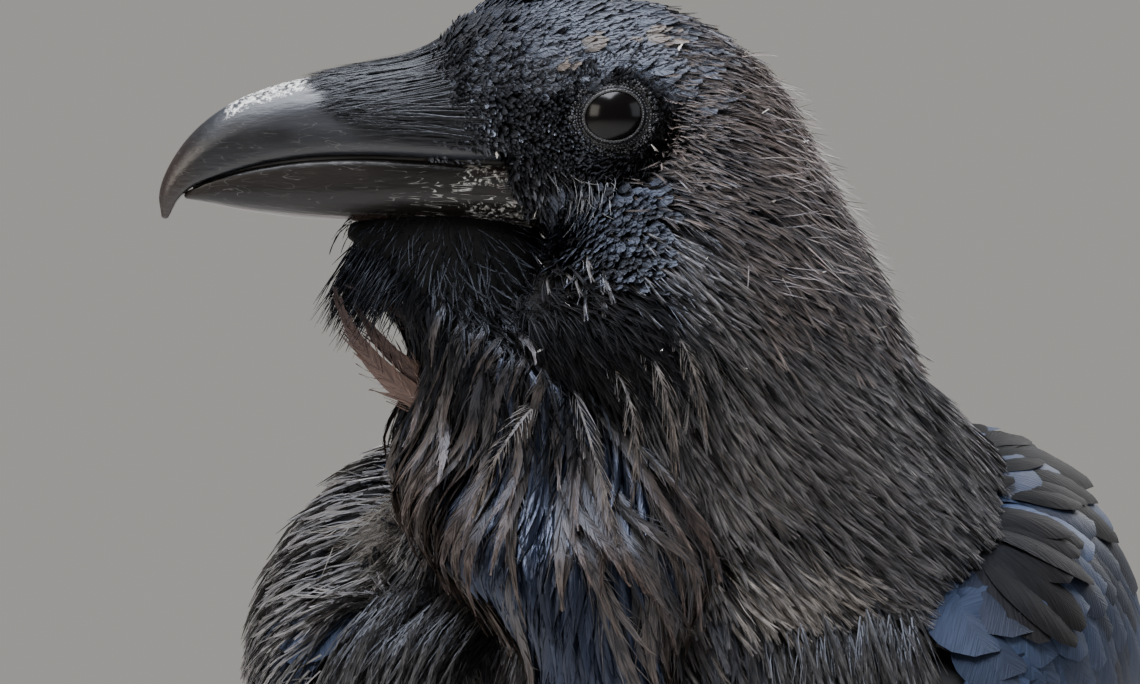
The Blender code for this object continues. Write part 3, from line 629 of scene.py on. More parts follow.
def feathers(name, shafts, template, width, material, slot, unwrap, tone, seed=1, rough=0.0, lift=0.0,
             twist=0.0, sweep=0.0, **more):
    """One joined coat piece: the template laid on every shaft, as shaft + across * side + height * normal.

    rough jogs each point, lift raises a feather to its tip, twist rolls it and sweep bends it aside,
    each by a random share of its width. Each feather keeps a patch of the unwrap, PATCH wide, round its root.
    """
    shaft, normal, side = shafts
    shape, quads = template
    random = np.random.default_rng(seed)
    count, points = len(shaft), len(shape)
    last = shaft.shape[1] - 1
    place = np.clip(shape[:, 0], 0, 1) * last
    low = np.minimum(place.astype(int), last - 1)
    share = (place - low)[None, :, None]
    wide = width[:, None]
    a, c, h = shape[None, :, 0], shape[None, :, 1], shape[None, :, 2]
    jog = rough * random.normal(size=(2, count, points)) * wide * np.clip(a * 3, 0, 1)
    across = (c + sweep * random.normal(size=(count, 1)) * a**2) * wide + jog[0]
    rolled = twist * random.normal(size=(count, 1)) * c
    rise = (h + rolled + lift * np.abs(random.normal(size=(count, 1))) * a**2) * wide + 0.5 * jog[1]
    at = shaft[:, low] * (1 - share) + shaft[:, low + 1] * share
    up = unit(normal[:, low] * (1 - share) + normal[:, low + 1] * share)
    out = unit(side[:, low] * (1 - share) + side[:, low + 1] * share)
    at = at + out * across[..., None] + up * rise[..., None]
    quads = quads[None] + (np.arange(count) * points)[:, None, None]
    mark = np.stack(np.broadcast_arrays(a, c, tone[:, None]), -1)
    around = np.stack([np.clip(shape[:, 1], -1, 1) * 0.5, shape[:, 0] - 0.5], -1)
    patch = unwrap[:, None, :] + PATCH * around[None]
    length = np.linalg.norm(shaft[:, -1] - shaft[:, 0], axis=-1)[:, None]
    vane = np.stack(np.broadcast_arrays(c * wide * 0.1, a * length * 0.1), -1)
    return piece(name, at, quads, material, slot, unwrap=patch, maps={"vane": vane}, marks={"lie": mark},
                 **more)


def on_skin(at, turn):
    """The skin's own unwrap: turn across, place along the body up."""
    return np.stack([(turn / (2 * np.pi)) % 1.0, BODY_SHARE * np.clip(at / BILL_EDGE, 0, 1)], -1)


def read(rule, points):
    """A rule's value for each point: rule(points) where it is a function, and else the number itself."""
    return rule(points) if callable(rule) else np.full(len(points), rule)


def coat(name, count, at_range, turn_range, template, material, length, ratio, ways, weight=None,
         surface=body, root=None, high=0.0, seed=1, vary=0.15, tone=0.45, mottle=0.22, bow=0.5, steps=6,
         slot="plumage", unwrap=on_skin, stray=0.1, **more):
    """Feathers of one kind over a zone, rooted in the skin and lying back with their tips on the surface.

    length, tone and high are numbers or functions of the root's point; ways gives the lie at each root,
    from which each feather strays at random; ratio is half width over length.
    """
    random = np.random.default_rng(seed)
    at, turn = spread(count, surface, at_range, turn_range, weight, seed * 0.618 % 1)
    points = surface(at, turn, 0.0)
    way = ways(points, at) + stray * random.normal(size=(count, 3))
    long = read(length, points) * random.normal(1, vary, count)
    shade = read(tone, points) + mottle * random.normal(size=count)
    low = -0.9 * depth(at) if root is None else np.full(count, root)
    tips = read(high, points) + 0.25 * random.normal(size=count)
    shafts = lay(surface, at, turn, way, long, low, tips, bow, steps)
    return feathers(name, shafts, template, np.maximum(long * ratio, 0.0), material, slot, unwrap(at, turn),
                    np.clip(shade, 0, 1), seed, **more)


def plumage(name, dark, light, worn, wear=0.5, rough=0.42, gloss="#c3cde4", fine=0.45, slope=0.2, barb_shade=0.6,
            shine=0.5):
    """Feather black: from dark to light by the feather's own tone, and towards worn at its tip.

    Barbs slant off the shaft by slope; between them the colour falls towards dark by the share given, as a
    painted shade in the gaps between barbs. Real barbs stand a tenth of a mm apart, too fine to show, so they
    are drawn fine mm wide.
    """
    made = plain(name, dark, rough, Specular_IOR_Level=shine, Specular_Tint=linear(gloss))
    lie = add(made, "ShaderNodeAttribute", attribute_name="lie")
    parts = add(made, "ShaderNodeSeparateXYZ", {"Vector": lie.outputs["Vector"]})
    base = add(made, "ShaderNodeMix", {"Factor": parts.outputs["Z"], "A": linear(dark), "B": linear(light)},
               data_type="RGBA")
    tip = add(made, "ShaderNodeMapRange", {"Value": parts.outputs["X"], "From Min": 0.45, "From Max": 1.0,
                                           "To Max": wear})
    tipped = add(made, "ShaderNodeMix", {"Factor": tip.outputs[0], "A": base.outputs["Result"],
                                         "B": linear(worn)}, data_type="RGBA")
    vane = add(made, "ShaderNodeUVMap", uv_map="vane")
    flat = add(made, "ShaderNodeSeparateXYZ", {"Vector": vane.outputs[0]})
    wide = add(made, "ShaderNodeMath", {0: flat.outputs["X"]}, operation="ABSOLUTE")
    slant = add(made, "ShaderNodeMath", {0: flat.outputs["Y"], 1: -slope, 2: wide.outputs[0]},
                operation="MULTIPLY_ADD")
    barb = add(made, "ShaderNodeCombineXYZ", {"X": slant.outputs[0], "Y": flat.outputs["Y"],
                                              "Z": parts.outputs["Z"]})
    drawn = add(made, "ShaderNodeMapping", {"Vector": barb.outputs[0],
                                            "Scale": (10 / fine, 0.8 / fine, 40.0)})
    noise = add(made, "ShaderNodeTexNoise", {"Vector": drawn.outputs[0], "Scale": 1.0, "Detail": 3.0})
    # Painted shade between the barbs: the colour falls towards dark in the noise's low bands.
    lit = add(made, "ShaderNodeMapRange", {"Value": noise.outputs[0], "From Min": 0.38, "From Max": 0.62,
                                           "To Min": 1 - barb_shade, "To Max": 1.0})
    colour = add(made, "ShaderNodeMix", {"Factor": lit.outputs[0], "A": linear(dark),
                                         "B": tipped.outputs["Result"]}, data_type="RGBA")
    bump = add(made, "ShaderNodeBump", {"Height": noise.outputs[0], "Distance": 0.00025, "Strength": 0.7})
    return wire(made, Base_Color=colour.outputs["Result"], Normal=bump.outputs[0])


def backward(points, at):
    """The way from bill to tail along the body at each place, wavering a little from lock to lock."""
    row = along(BODY, at)
    forward, _, left = axes_of(row[..., 3], row[..., 4])
    return -forward + 0.16 * waver(points, 22.0, 3)[..., None] * left


def head_ways(points, at):
    """Lie of the head's feathers: level on the crown, dipping more and more towards cheek and throat."""
    dip = np.radians(np.interp(points[..., 2], [300, 330, 350, 365, 380, 398], [60, 50, 38, 26, 12, 2]))
    dip = dip + 0.22 * waver(points, 16.0, 12)
    return -np.cos(dip)[..., None] * AHEAD - np.sin(dip)[..., None] * UP


def face_ways(points, at):
    """Lie of the face's feathers: as the head's, but parting round the eye."""
    ahead, high, out = in_head(points)
    dx, dz = ahead - EYE_AHEAD, high - EYE_HEIGHT
    near = spot(np.hypot(dx, dz) / 9.5) * (np.abs(out) > 8)
    return head_ways(points, at) + near[..., None] * 1.6 * unit(dx[..., None] * AHEAD + dz[..., None] * UP)


def from_eye(points):
    """Distance in mm from the nearer eye's axis, a little flatter than round, or far for the midline."""
    ahead, high, out = in_head(points)
    return np.where(np.abs(out) > 8, np.hypot((ahead - EYE_AHEAD) / 1.12, high - EYE_HEIGHT), 99.0)


def on_crown(points):
    """How thickly the crown's scale-like feathers grow: above the eye, from the bill to the nape."""
    ahead, high, _ = in_head(points)
    return (from_eye(points) > 6.8) * smooth(high - 0.10 * (ahead - 16), 377, 382) * smooth(ahead, -5, 9)


TOP, ALL_ROUND = (0.04 * math.pi, 0.96 * math.pi), (-0.5 * math.pi, 1.5 * math.pi)


def forehead(points):
    """How much the tufts of the forehead stand up: most between the eye and the bill's bristles, on top."""
    ahead, high, _ = in_head(points)
    return spot((ahead - 40) / 5) * smooth(high, 384, 392) * (0.6 + 0.6 * waver(points, 6.0, 33))


def worn_spots(points):
    """Three places on the crown where old feathers are worn brown."""
    ahead, high, out = in_head(points)
    places = ((24, 390.5), (11, 392.0), (31, 386.5))
    return sum(spot((ahead - a) / 3.2, (high - z) / 1.6) for a, z in places) * (out > 0)


crown_tuft = both(leaf(5, 5, 0.5, 0.3, 0.6, 0.85), barbs(6, 3, 0.35, 0.09, 0.3, 5, 0.35, 0.6, 0.5))
# Small firm black feathers with a soft blue gloss, a few of them old, dull and worn brown.
crown_gloss = plumage("crown feathers, blue-black", "#08090b", "#262b35", "#5d5853", 0.15, 0.48,
                      slope=0.5, shine=0.4)
crown_old = plumage("crown feathers, old and brown", "#1c1918", "#4b433e", "#6a5d54", 0.3, 0.5, "#ffffff",
                    shine=0.3)
for k, (low, high, many) in enumerate(((EAR + 1.2, LORE + 0.9, 1620), (HIGH_NECK + 0.4, EAR + 1.2, 800))):
    coat(f"crown_feathers_{k + 1}", many, (low, high), TOP, crown_tuft, crown_gloss,
         lambda p: 4.6 + 4.0 * smooth(-in_head(p)[0], -44, 0), 0.25, face_ways, on_crown, seed=11 + k,
         tone=lambda p: 0.3 + 0.3 * smooth(in_head(p)[0], 0, 30) + 0.3 * waver(p, 15, 5), lift=0.12,
         twist=0.10, high=lambda p: 0.5 * waver(p, 10.0, 8) + 3.0 * forehead(p), sweep=0.3, stray=0.12)
coat("crown_worn", 18, (EAR, FOREHEAD + 0.5), (0.04 * math.pi, 0.6 * math.pi), crown_tuft, crown_old, 7.0,
     0.20, face_ways, worn_spots, seed=13, high=0.5, lift=0.2, twist=0.2, sweep=0.3, stray=0.1, tone=0.6)


def on_face(points):
    """Where the short grainy feathers of the face grow: lores, round the eye and along the gape."""
    ahead, high, _ = in_head(points)
    away = from_eye(points)
    lores = smooth(ahead, 20, 25) * (1 - smooth(high - 0.5 * (ahead - 30), 382, 386)) * smooth(
        high - 0.30 * (ahead - 38), 356, 359)
    return (away > 6.1) * np.maximum(lores, (1 - smooth(away, 12.5, 15.0)) * smooth(high, 360, 364))


# Very short dense feathers, each no more than a shining black grain.
face_black = plumage("face feathers, short and black", "#050506", "#1f2023", "#3c3d40", 0.4, 0.32, shine=0.5)
coat("face_feathers", 8000, (NAPE, BILL_EDGE - 0.12), ALL_ROUND, leaf(3, 3, 0.7, 0.5, 0.5), face_black,
     lambda p: 1.5 + 0.10 * np.clip(from_eye(p) - 8, 0, 12), 0.30, face_ways, on_face, seed=21, lift=0.5,
     twist=0.3, stray=0.3, mottle=0.3, high=lambda p: 0.25 * waver(p, 5.0, 2))


# ---------------------------------------------------------------- cheek and ear
# Behind the gape a patch of small blue-black scales covers the cheek. From there and from behind the
# eye the ear's feathers run back and down, loose and hair-like, because their barbs don't hook.
def on_cheek(points):
    """Where the cheek's scales grow: below and behind the eye, over the angle of the jaw."""
    ahead, high, _ = in_head(points)
    front = smooth(ahead + 0.8 * (350 - np.minimum(high, 350)), 26, 34)
    return smooth(ahead, 6, 12) * (1 - front) * smooth(high, 341, 347) * (1 - smooth(high, 359, 363))


# The same feathers as the crown's, bluer and paler where they turn to the light.
cheek_gloss = plumage("cheek feathers, blue-black", "#08090c", "#3e4451", "#54565c", 0.2, 0.45, slope=0.5,
                      shine=0.35)
coat("cheek_feathers", 1200, (MID_NECK, BILL_EDGE - 1.5), ALL_ROUND, crown_tuft, cheek_gloss, 4.6, 0.25,
     head_ways, on_cheek, seed=31, lift=0.12, twist=0.12, stray=0.09,
     high=lambda p: 0.7 + 0.3 * waver(p, 7.0, 4), tone=lambda p: 0.5 + 0.55 * waver(p, 8, 6))


def on_ear(points):
    """Where the hair-like feathers grow: behind the eye and cheek, over ear and nape."""
    ahead, high, _ = in_head(points)
    behind = 1 - smooth(ahead - 0.25 * (high - 375), 6, 13)
    below = (1 - smooth(ahead, 12, 22)) * (1 - smooth(high, 366, 371)) * smooth(high, 356, 361)
    return (from_eye(points) > 9.5) * np.maximum(behind * smooth(high, 328, 345), below)


def ear_tone(points):
    """Tone of the ear's feathers: black behind the cheek, brown towards the back of the head."""
    back = smooth(-in_head(points)[0], -5, 15) * smooth(points[..., 2], 356, 380)
    return 0.02 + 0.88 * back + 0.25 * waver(points, 12, 7)


def on_temple(points):
    """Where the short feathers behind the eye grow: a patch 3 mm ahead of the pivot, at the eye's height."""
    ahead, high, _ = in_head(points)
    return (from_eye(points) > 8.2) * spot((ahead - 3) / 5.5, (high - 375) / 9)


def below_eye(points):
    """Where the long pale hairs stand: in a band round the eye, 9.5 to 17 mm from its axis, below it."""
    away = from_eye(points)
    return (away > 9.5) * (away < 17) * (1 - smooth(points[..., 2], 362, 368))


# Soft open feathers: their barbs don't hook, so they lie as fine hairs and look brown where they thin out.
hair = barbs(11, 3, 0.8, 0.048, 0.4, 9, 0.0, 0.55, 0.7, droop=0.15)
ear_soft = plumage("ear feathers, soft and brown-black", "#080707", "#6b5e57", "#80736b", 0.4, 0.46,
                   slope=0.12, barb_shade=0.7)
# Bare hair-like shafts that catch the light one by one.
eye_hair = plumage("hairs below the eye, pale grey", "#29292a", "#606061", "#858483", 0.5, 0.4, barb_shade=0.2)
for k, sector in enumerate(((-0.5 * math.pi, 0.5 * math.pi), (0.5 * math.pi, 1.5 * math.pi))):
    coat(f"ear_feathers_{k + 1}", 2150 - 900 * k, (MID_NECK + 0.2, TEMPLE + 1), sector, hair, ear_soft,
         lambda p: 11.0 + 5 * (1 - smooth(p[..., 2], 345, 375)), 0.13, head_ways, on_ear, seed=41 + k,
         lift=0.35, twist=0.3, sweep=0.7, stray=0.13, high=lambda p: 0.7 * waver(p, 9.0, 5), tone=ear_tone)
coat("temple_feathers", 420, (NAPE, FOREHEAD), (-0.3 * math.pi, 1.3 * math.pi), hair, ear_soft, 6.5, 0.16,
     head_ways, on_temple, seed=44, lift=0.35, twist=0.3, sweep=0.6, stray=0.15, tone=0.3, high=0.5)
coat("nape_wisps", 420, (MID_NECK + 0.5, TEMPLE), (0.02 * math.pi, 0.98 * math.pi),
     leaf(8, 3, 0.6, 0.8, 0.3), ear_soft, 13.0, 0.010, head_ways, lambda p: smooth(-in_head(p)[0], 2, 16),
     seed=43, high=4.2, bow=1.4, steps=8, sweep=12.0, stray=0.35, vary=0.3, tone=0.8)
coat("eye_hairs", 90, (NAPE + 0.5, FOREHEAD), ALL_ROUND, leaf(6, 3, 0.6, 0.8, 0.3), eye_hair, 8.0, 0.009,
     lambda p, at: face_ways(p, at) - 0.4 * UP, below_eye, seed=45, high=1.6, bow=0.8, sweep=5.0,
     stray=0.25, vary=0.3, tone=0.5)


# ---------------------------------------------------------------- nasal bristles
# Stiff narrow bristles spring from the lores and forehead and lie forward in a flat pad over the
# nostrils and the base of the culmen. Each is one black strand, rooted in the skin.
PAD = np.array([head_row(*row) for row in [
    (34, 371, 0, 19.0, 28.6, 16.5, 0), (44, 371.4, -3, 16.6, 24.2, 12, 0),
    (50, 373, -4, 15.2, 18.0, 9, 0.04), (57, 375, -3, 13.7, 12.9, 8.8, 0.08),
    (67, 376, -6, 11.2, 10.0, 8.6, 0.10), (77, 375.4, -12, 8.5, 8.3, 8.3, 0.10),
    (86, 373.3, -21, 6.9, 7.6, 7.3, 0.10)]])
BRISTLES, LINE_HIGH, LINE_SLOPE, LINE_START = 2550, 369.3, 0.19, 42.6


def pad(at, turn, off):
    """The outer surface of the bristles: from the face forward on to the horn."""
    return loft(PAD, at, turn, off, (1.9, 3.5))


def bristle_zone(points):
    """Roots stand from the face forward to mid nostril, above a line that rises to the culmen."""
    ahead, high, _ = in_head(points)
    above = high > LINE_HIGH + LINE_SLOPE * (ahead - LINE_START)
    return smooth(ahead, 36, 41) * (1 - 0.75 * smooth(ahead, 50, 68)) * above


random = np.random.default_rng(51)
at, turn = spread(BRISTLES, pad, (0.2, 4.3), (-0.1 * math.pi, 1.1 * math.pi), bristle_zone, 0.3)
points = pad(at, turn, 0.0)
ahead, high, _ = in_head(points)
deep = random.uniform(0, 1, BRISTLES) ** 1.5 * np.interp(ahead, [36, 54, 74], [1.6, 2.2, 0.3])
rank = smooth(high - LINE_HIGH - LINE_SLOPE * (ahead - LINE_START), 0, 14)
length = np.clip((68.5 + 10 * rank - ahead) * random.uniform(0.55, 1.05, BRISTLES), 3.0, 24.0)
way = AHEAD + 0.06 * random.normal(size=(BRISTLES, 3))
way = way + (0.13 - 0.30 * rank + 0.08 * waver(points, 9.0, 6))[:, None] * UP
tips = -deep * 0.35 + 0.35 * random.normal(size=BRISTLES)
shafts = lay(pad, at, turn, way, length, -deep - 0.5, tips, 0.4, 8)
# Stiff bare shafts, black, with a faint grey shine along each.
bristle_black = plumage("nasal bristles, black", "#030303", "#1d1e21", "#303134", 0.3, 0.40, "#dfe3ec",
                        shine=0.2)
width = np.full(BRISTLES, 0.25) * random.uniform(0.7, 1.3, BRISTLES)
tone = random.uniform(0, 1, BRISTLES) ** 2
feathers("nasal_bristles_coat", shafts, leaf(7, 3, 0.55, 0.9, 0.3), width, bristle_black, "plumage",
         np.stack([turn / (2 * np.pi) % 1.0, at / 6], -1), tone, 52, lift=0.5, sweep=1.6,
         replaces=("nasal_bristles",))


# ---------------------------------------------------------------- neck
# Long loose plumes of the neck, each a soft shaft with free barbs, so that they lie in fine streaks
# and part in locks. The head is turned, and they sweep round from it to the bird's left shoulder.
ASIDE = np.array([0.966, 0.259, 0.0])


def across_front(points):
    """Distance in mm across the bird's front along ASIDE, towards its left shoulder."""
    return points[..., 0] * ASIDE[0] + points[..., 1] * ASIDE[1]


def neck_ways(points, at):
    """Lie of the neck's plumes: down, and round towards the left shoulder on the left of the neck."""
    aside = np.clip((points[..., 0] + 0.27 * points[..., 1] + 38) / 60, -0.25, 1.0)
    pull = 1.15 * aside * smooth(points[..., 2], 250, 295)
    lock = 0.20 * waver(points, 26.0, 13) + 0.15 * waver(points, 9.0, 14)
    return backward(points, at) + (pull + lock)[..., None] * ASIDE


def under_cheek(points):
    """The fold under the cheek, where the plumes end and their tone is darkened as painted shade."""
    ahead, high, _ = in_head(points)
    return spot((ahead - 27) / 20, (high - 336) / 17)


def on_neck(points):
    """Where the neck's plumes grow: from under the cheek and ear down over the shoulders."""
    high, clear = points[..., 2], np.clip(1 - 1.6 * under_cheek(points), 0, 1)
    return (1 - smooth(high, 348, 362)) * smooth(high, 262, 284) * clear


def pale_patch(points):
    """Two paler patches where the plumes part: before the bend of each wing, on the shoulders."""
    across, high = across_front(points), points[..., 2]
    both_spots = spot((across - 8) / 11, (high - 288) / 4.5) + spot((across + 72) / 8, (high - 296) / 9)
    return np.where((points[..., 1] < 0) & (both_spots > 0.15), both_spots, 0)


def neck_tone(points):
    """Tone of the neck's plumes: wavering from lock to lock, pale where they part, and darkened under the
    cheek as painted shade.
    """
    return 0.58 + 0.48 * waver(points, 18, 17) + 0.9 * pale_patch(points) - 0.8 * under_cheek(points)


# Soft open plumes, brown-black, whose barbs show as fine streaks with painted shade between them.
plume = barbs(13, 3, 0.8, 0.053, 0.38, 15, 0.0, 0.55, 0.6, droop=0.2)
neck_soft = plumage("neck plumes, brown-black with fine streaks", "#080808", "#4f4c4a", "#69635f", 0.4, 0.38,
                    slope=0.15, barb_shade=0.7)
LEFT_FRONT, REST = (-0.62 * math.pi, 0.28 * math.pi), (0.28 * math.pi, 1.38 * math.pi)
for k, (low, high, sector, many) in enumerate(((LOW_NECK - 0.2, NAPE, LEFT_FRONT, 1720),
                                               (BREAST + 0.2, LOW_NECK + 0.1, LEFT_FRONT, 1520),
                                               (BREAST + 0.2, NAPE, REST, 1280))):
    coat(f"neck_plumes_{k + 1}", many, (low, high), sector, plume, neck_soft,
         lambda p: 16.0 + 8 * (1 - smooth(p[..., 2], 300, 350)), 0.10, neck_ways, on_neck, seed=61 + k,
         lift=0.25, twist=0.25, sweep=0.6, stray=0.10, steps=7, tone=neck_tone,
         high=lambda p: 0.6 * waver(p, 9.0, 15) + 1.4 * waver(p, 26.0, 16))


# ---------------------------------------------------------------- throat
# The raven's beard: long pointed hackles that hang from chin and throat over the upper breast, their
# tips frayed and worn brown, with glossy blue-black lances below them. Bristles fringe the chin.
THROAT = np.array([
    head_row(74, 353.3, 8, 3.0, 3.0, 1.8), head_row(67, 350.8, 16, 6.5, 7.0, 4.4),
    head_row(58, 345.8, 32, 12.0, 17, 8.0), head_row(50, 337.5, 56, 19, 27, 8.5),
    (-30, -58, 325, 50, 78, 27, 13, 13, 0), (-24, -61, 312, 32, 86, 32, 12, 14, 0),
    (-16, -68, 299, 16, 90, 32, 10.5, 15, 0), (-8, -75, 286, 6, 92, 27, 9, 16, 0),
    (-4, -78, 275, 0, 96, 18, 7, 13, 0), (-2, -81, 264, 0, 98, 12, 4.0, 8, 0),
    (-1, -79, 248, 0, 100, 12, 4.0, 6, 0), (0, -75, 230, 0, 104, 12, 4, 5, 0),
    (0, -69, 212, 0, 108, 12, 4, 4, 0)])
UNDER = (math.pi * 0.95, math.pi * 2.15)
THROAT_MIDDLE, THROAT_ROOT = 33.0, -2.6


def throat(at, turn, off):
    """The outer surface of the hackles, from the chin down on to the breast: the loft through THROAT."""
    return loft(THROAT, at, turn, off)


def on_throat(at, turn):
    """The throat's own unwrap: turn across, place down the throat up."""
    return np.stack([(turn / (2 * np.pi)) % 1.0, np.clip(at / 12, 0, 1)], -1)


def middle(points):
    """How near a point lies to the throat's middle, below the chin."""
    across = across_front(points) + THROAT_MIDDLE
    return spot((across + 3) / 17) * (1 - smooth(points[..., 2], 322, 338))


def hackle_ways(points, at):
    """Lie of the hackles: down, fanned to both sides in locks; forward at the chin, back at the gape."""
    fan = np.clip((across_front(points) + THROAT_MIDDLE) / 50, -0.22, 0.65)
    fan = fan * smooth(345 - points[..., 2], 0, 25)
    lock = 0.22 * waver(points, 19.0, 23) + 0.10 * waver(points, 7.0, 24)
    forward = np.interp(in_head(points)[0], [36, 50, 62], [-0.8, -0.1, 0.45])
    forward = forward * smooth(points[..., 2], 318, 338)
    return -UP + (fan + lock)[..., None] * ASIDE + forward[..., None] * AHEAD


def fan_ways(points, at):
    """Lie of the hackles: down in two fans that part left of the throat's middle, in loose locks."""
    across = across_front(points) + THROAT_MIDDLE
    fan = np.interp(across, [-26, -10, -3, 6, 30], [-0.18, -0.35, 0.25, 0.42, 0.5])
    fan = fan * smooth(345 - points[..., 2], 0, 20) + 0.16 * waver(points, 12.0, 23)
    return hackle_ways(points, at) * [0, 0, 1] + fan[..., None] * ASIDE


# Black down under the hackles: dull and soft, so that gaps between them stay dark.
throat_black = plain("throat down, black", "#060606", 0.9, Specular_IOR_Level=0.1)
down = tube(throat(stations(0.8, 9, 70), turns(64), -2.8), 0.5)
closed_piece("throat_down", down, throat_black, "plumage", replaces=("throat_hackles",))

# Narrow firm feathers with the strongest gloss of all, blue-black like the back's.
lance = both(leaf(9, 5, 1.0, 0.9, 0.42), barbs(8, 3, 0.22, 0.05, 0.3, 27, 0.35, 0.42, 1.0))
lance_gloss = plumage("throat lances, glossy blue-black", "#020306", "#0f1422", "#191e2a", 0.3, 0.33,
                      "#c0ccec", slope=0.25, barb_shade=0.6, shine=0.42)
coat("throat_lances", 560, (3.2, 10.6), (1.1 * math.pi, 2.02 * math.pi), lance, lance_gloss, 25.0, 0.080,
     hackle_ways, middle, throat, THROAT_ROOT, lambda p: 0.2 + 0.8 * waver(p, 8, 3), seed=71, lift=0.4,
     twist=0.6, stray=0.10, steps=8, tone=0.45, mottle=0.35, vary=0.2, unwrap=on_throat)


def hackle_zone(points):
    """Hackles stand in two fans at the sides of the throat, and few hang over the lances of the middle."""
    high = points[..., 2]
    return (1 - 0.93 * middle(points)) * smooth(high, 276, 288) * (1 - smooth(high, 336, 346))


def hackle_tone(points):
    """Tone of the hackles: 0.25 at the chin, 0.4 more below a height of 300 mm, wavering in locks."""
    return 0.25 + 0.4 * smooth(330 - points[..., 2], 0, 30) + 0.25 * waver(points, 9, 28)


# Long soft feathers, grey-brown and matt, with painted shade between their barbs.
hackle = both(leaf(8, 3, 0.9, 0.35, 0.42, 0.5),
              barbs(18, 3, 0.34, 0.055, 0.4, 29, 0.10, 0.45, 0.7, droop=0.3))
hackle_grey = plumage("throat hackles, grey-brown", "#050505", "#3d3937", "#54483f", 0.5, 0.42, fine=0.3,
                      slope=0.08, barb_shade=0.75, shine=0.3)
coat("throat_hackles_coat", 330, (2.2, 8.4), UNDER, hackle, hackle_grey,
     lambda p: np.interp(p[..., 2], [275, 300, 325, 345], [24, 34, 32, 22]), 0.085, fan_ways, hackle_zone,
     throat, THROAT_ROOT, lambda p: 1.4 + 1.6 * waver(p, 8, 3), seed=72, lift=0.4, twist=0.4, sweep=0.7,
     stray=0.14, steps=9, vary=0.25, tone=hackle_tone, unwrap=on_throat)


def front_zone(points):
    """The longest hackles stand loose over the others in front, between chin and breast."""
    high, across = points[..., 2], across_front(points) + THROAT_MIDDLE
    upper = 8 * smooth(across, -4, 6)
    return smooth(high, 298, 308) * (1 - smooth(high - upper, 328, 338)) * (1 - 0.6 * spot((across + 6) / 5))


# The same feathers grown longest and most worn: browner, with frayed edges.
frayed = both(leaf(9, 5, 0.9, 0.4, 0.40, 0.55),
              barbs(56, 4, 0.17, 0.032, 0.22, 61, 0.06, 0.42, 0.8, droop=0.4))
hackle_long = plumage("long throat hackles, brown-grey", "#090808", "#423e3b", "#4e4038", 0.6, 0.40, fine=0.3,
                      slope=0.25, barb_shade=0.7, shine=0.2)
coat("long_hackles", 84, (2.4, 6.8), (1.05 * math.pi, 2.12 * math.pi), frayed, hackle_long, 35.0, 0.075,
     fan_ways, front_zone, throat, -2.0, lambda p: 3.4 + 1.4 * waver(p, 8, 62), seed=76, lift=0.45,
     twist=0.45, sweep=1.1, stray=0.12, steps=10, bow=0.8, vary=0.15, mottle=0.35, tone=0.5,
     unwrap=on_throat)


def arc(bends, facing, steps=12):
    """Shafts along (1 - s)^2 a + 2 s (1 - s) b + s^2 c for rows of points a, b, c, facing a given way."""
    share = np.linspace(0, 1, steps)[:, None]
    curve = (1 - share)**2 * bends[:, :1] + 2 * share * (1 - share) * bends[:, 1:2] + share**2 * bends[:, 2:]
    normal = unit(facing + 0 * curve)
    return curve, normal, unit(np.cross(unit(np.gradient(curve, axis=1)), normal))


# Three feathers have come loose from the throat's right side and curl outwards and up, and five of the
# longest hackles hang free in front. Places are distances behind the pivot, heights and distances left.
AXES = np.array([-AHEAD, UP, LEFT])
LOOSE = np.array([[(-42, 311, 42), (-71, 318, 50), (-77.0, 341, 50)],
                  [(-43, 318, 40), (-62, 338, 46), (-75, 341.5, 48)],
                  [(-42, 314, 41), (-66, 323, 49), (-73, 338, 49)]])
HANGING = np.array([[(-15, 338, 71), (-4.5, 332, 92), (-2.5, 311, 84)],
                    [(-22, 336, 70), (-9.0, 330, 93), (-9.5, 301, 84)],
                    [(-27, 331, 70), (-13, 322, 92), (-16.5, 297, 86)],
                    [(-33, 320, 68), (-43, 314, 90), (-47.5, 295, 80)],
                    [(-31, 326, 69), (-24, 309, 95), (-19, 283, 89)]])
# Worn thin, so that light comes through them brown, with black tips.
loose_brown = plumage("loose feathers, thin and brown with black tips", "#1d1613", "#645148", "#0e0b0a", 0.9,
                      0.5, fine=0.3, slope=0.25, barb_shade=0.5, shine=0.2)
loose_facing = LEFT + 0.3 * AHEAD * np.array([1, -1, 0.4])[:, None, None]
feathers("loose_feathers", arc(LOOSE @ AXES, loose_facing), frayed, np.array([4.4, 2.6, 3.4]), loose_brown,
         "plumage", np.array([[0.50, 0.42], [0.51, 0.43], [0.52, 0.42]]), np.array([0.8, 0.3, 0.6]), 78,
         rough=0.03)
# Matt brown-grey feathers that taper to a frayed point, with painted shade between their barbs.
hanging_grey = plumage("hanging hackles, brown-grey", "#121110", "#5f5a56", "#574a40", 0.5, 0.46, fine=0.3,
                       slope=0.25, barb_shade=0.8, shine=0.18)
tapered = both(leaf(9, 5, 0.8, 0.4, 0.45, 0.10),
               barbs(56, 4, 0.17, 0.028, 0.22, 80, 0.06, 0.5, 0.8, droop=0.4))
hanging_facing = LEFT + 0.35 * AHEAD * np.array([-1, -0.6, -1, 1, -0.5])[:, None, None]
hanging_map = on_throat(np.array([3.4, 3.6, 3.4, 4.5, 4.2]), np.array([6.2, 6.0, 5.6, 4.6, 5.2]))
feathers("hanging_hackles", arc(HANGING @ AXES, hanging_facing), tapered, np.array([2.5, 2.4, 2.2, 2.9, 2.2]),
         hanging_grey, "plumage", hanging_map, np.full(5, 0.75), 79, rough=0.03, lift=0.3, sweep=0.4)


def on_chin(points):
    """Where the chin's bristles grow: up to the horn of the lower mandible, and clear of its corner."""
    ahead, high, _ = in_head(points)
    line = 358.5 - 2.5 * (1 - smooth(ahead, 44, 54))
    return smooth(line - high, 0, 1.5) * (1 - smooth(ahead, 66, 69))


def on_fringe(points):
    """Where the fringe of long bristles stands: under the base of the bill, 339 to 353 mm high."""
    ahead, high, _ = in_head(points)
    return smooth(ahead, 36, 46) * (high < 353) * smooth(high, 339, 346)


